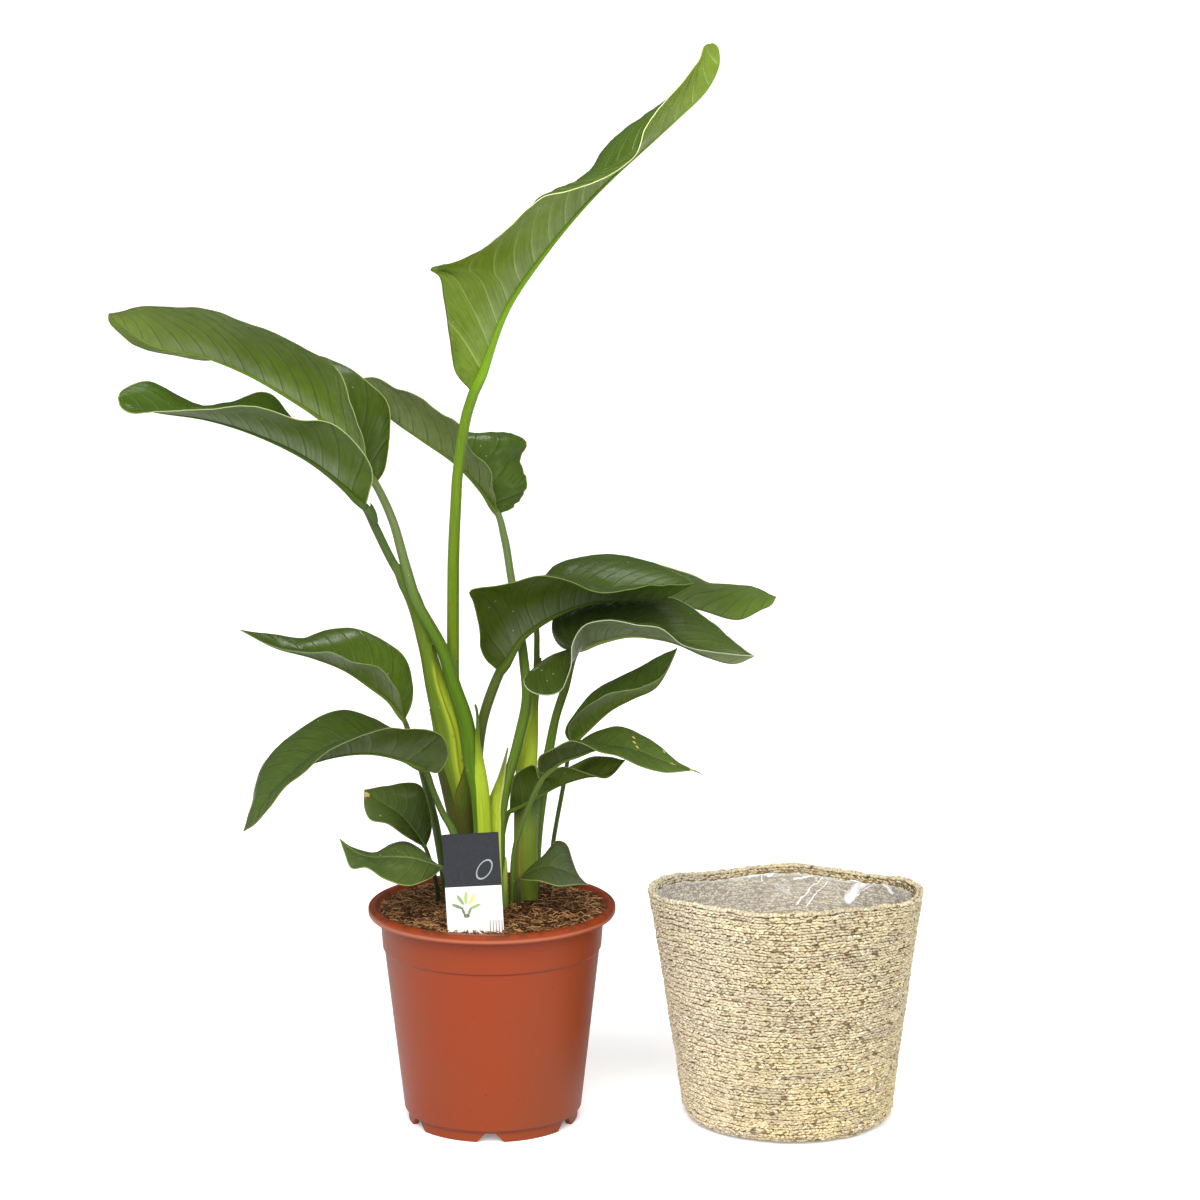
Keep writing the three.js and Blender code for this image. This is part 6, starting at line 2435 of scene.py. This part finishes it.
# ------------------------------------------------------------------ studio
@dataclass
class Studio:
    """The pale floor, the soft lights and the camera at the photo's place."""

    lens: float = 96.6
    tilt: float = 80.214
    floor_size: float = 60.0
    sky: float = 0.38
    broad: float = 3.9

    def floor(self) -> None:
        """A very wide pale floor."""
        w = MaterialWriter("pale floor")
        grain = w.noise(w.place(), 40.0, 3.0)
        seen = w.add("ShaderNodeLightPath").outputs["Is Camera Ray"]
        w.set(
            Base_Color=w.blend(grain, paint("ffffff"), paint("fefefe")),
            Roughness=0.6,
            Emission_Color=paint("ffffff"),
            Emission_Strength=w.times(seen, 0.22),
        )
        half = self.floor_size / 2
        corners = [(-half, -half, 0), (half, -half, 0), (half, half, 0), (-half, half, 0)]
        mesh = bpy.data.meshes.new("studio_floor")
        mesh.from_pydata(corners, [], [(0, 1, 2, 3)])
        mesh.materials.append(w.material)
        floor = bpy.data.objects.new("studio_floor", mesh)
        bpy.context.scene.collection.objects.link(floor)

    def light(self, name: str, place: tuple, target: tuple, size: float, power: float) -> None:
        """Hangs one soft area light.

        Args:
            name: Name of the light.
            place: Where it hangs.
            target: What it looks at.
            size: Its width.
            power: Its power in watts.
        """
        lamp = bpy.data.lights.new(name, "AREA")
        lamp.shape, lamp.size, lamp.energy = "DISK", size, power
        holder = bpy.data.objects.new(name, lamp)
        holder.location = place
        holder.rotation_euler = (Vector(target) - Vector(place)).to_track_quat("-Z", "Y").to_euler()
        bpy.context.scene.collection.objects.link(holder)

    def sky_light(self) -> None:
        """A white world, brighter to the camera and dimmer in reflections."""
        world = bpy.data.worlds.new("white studio")
        world.use_nodes = True
        w = NodeWriter(world.node_tree)
        path = w.add("ShaderNodeLightPath")
        seen = w.span(path.outputs["Is Camera Ray"], 0.0, 1.0, self.sky, 1.1)
        dimmed = w.span(path.outputs["Is Glossy Ray"], 0.0, 1.0, 0.0, self.sky - 0.12)
        sky = world.node_tree.nodes["Background"]
        sky.inputs["Color"].default_value = (1.0, 1.0, 1.0, 1.0)
        w.feed(sky.inputs["Strength"], w.minus(seen, dimmed))
        bpy.context.scene.world = world

    def camera(self) -> None:
        """The camera at the photo's place."""
        lens = bpy.data.cameras.new("photo camera")
        lens.lens, lens.sensor_width = self.lens, 36.0
        camera = bpy.data.objects.new("photo camera", lens)
        camera.location = (POT_AXIS[0] + 0.083, POT_AXIS[1] - 2.4, 0.82)
        camera.rotation_euler = (math.radians(self.tilt), 0.0, 0.0)
        bpy.context.scene.collection.objects.link(camera)
        bpy.context.scene.camera = camera

    def build(self) -> None:
        """Builds the whole studio."""
        self.floor()
        self.sky_light()
        sun = bpy.data.lights.new("broad light", "SUN")
        sun.energy, sun.angle = self.broad, math.radians(60)
        holder = bpy.data.objects.new("broad light", sun)
        holder.rotation_euler = (math.radians(50), 0.0, math.radians(-2))
        holder.visible_glossy = False
        bpy.context.scene.collection.objects.link(holder)
        self.light("key light", (-0.7, -1.9, 2.3), (0.0, 0.0, 0.4), 0.9, 18)
        self.light("side light", (1.9, -0.7, 1.5), (0.05, 0.0, 0.4), 0.6, 5)
        self.light("top light", (0.2, 0.9, 2.6), (0.0, 0.0, 0.5), 0.8, 19)
        self.camera()
        bpy.context.scene.view_settings.view_transform = "Standard"


def main() -> None:
    """Builds the plant, the pot, the basket and the studio."""
    logging.basicConfig(level=logging.INFO, format="%(name)s: %(message)s")
    NurseryPot().build()
    PottingSoil().build()
    for name, route in LEAF_ROUTES.items():
        Leaf(name, route, LEAF_HABITS[name]).build(LEAF_TINTS[name])
    YoungShoot().build()
    PlantLabel().build()
    SeagrassBasket().build()
    FilmLiner().build()
    Studio().build()


if __name__ == "__main__":
    main()
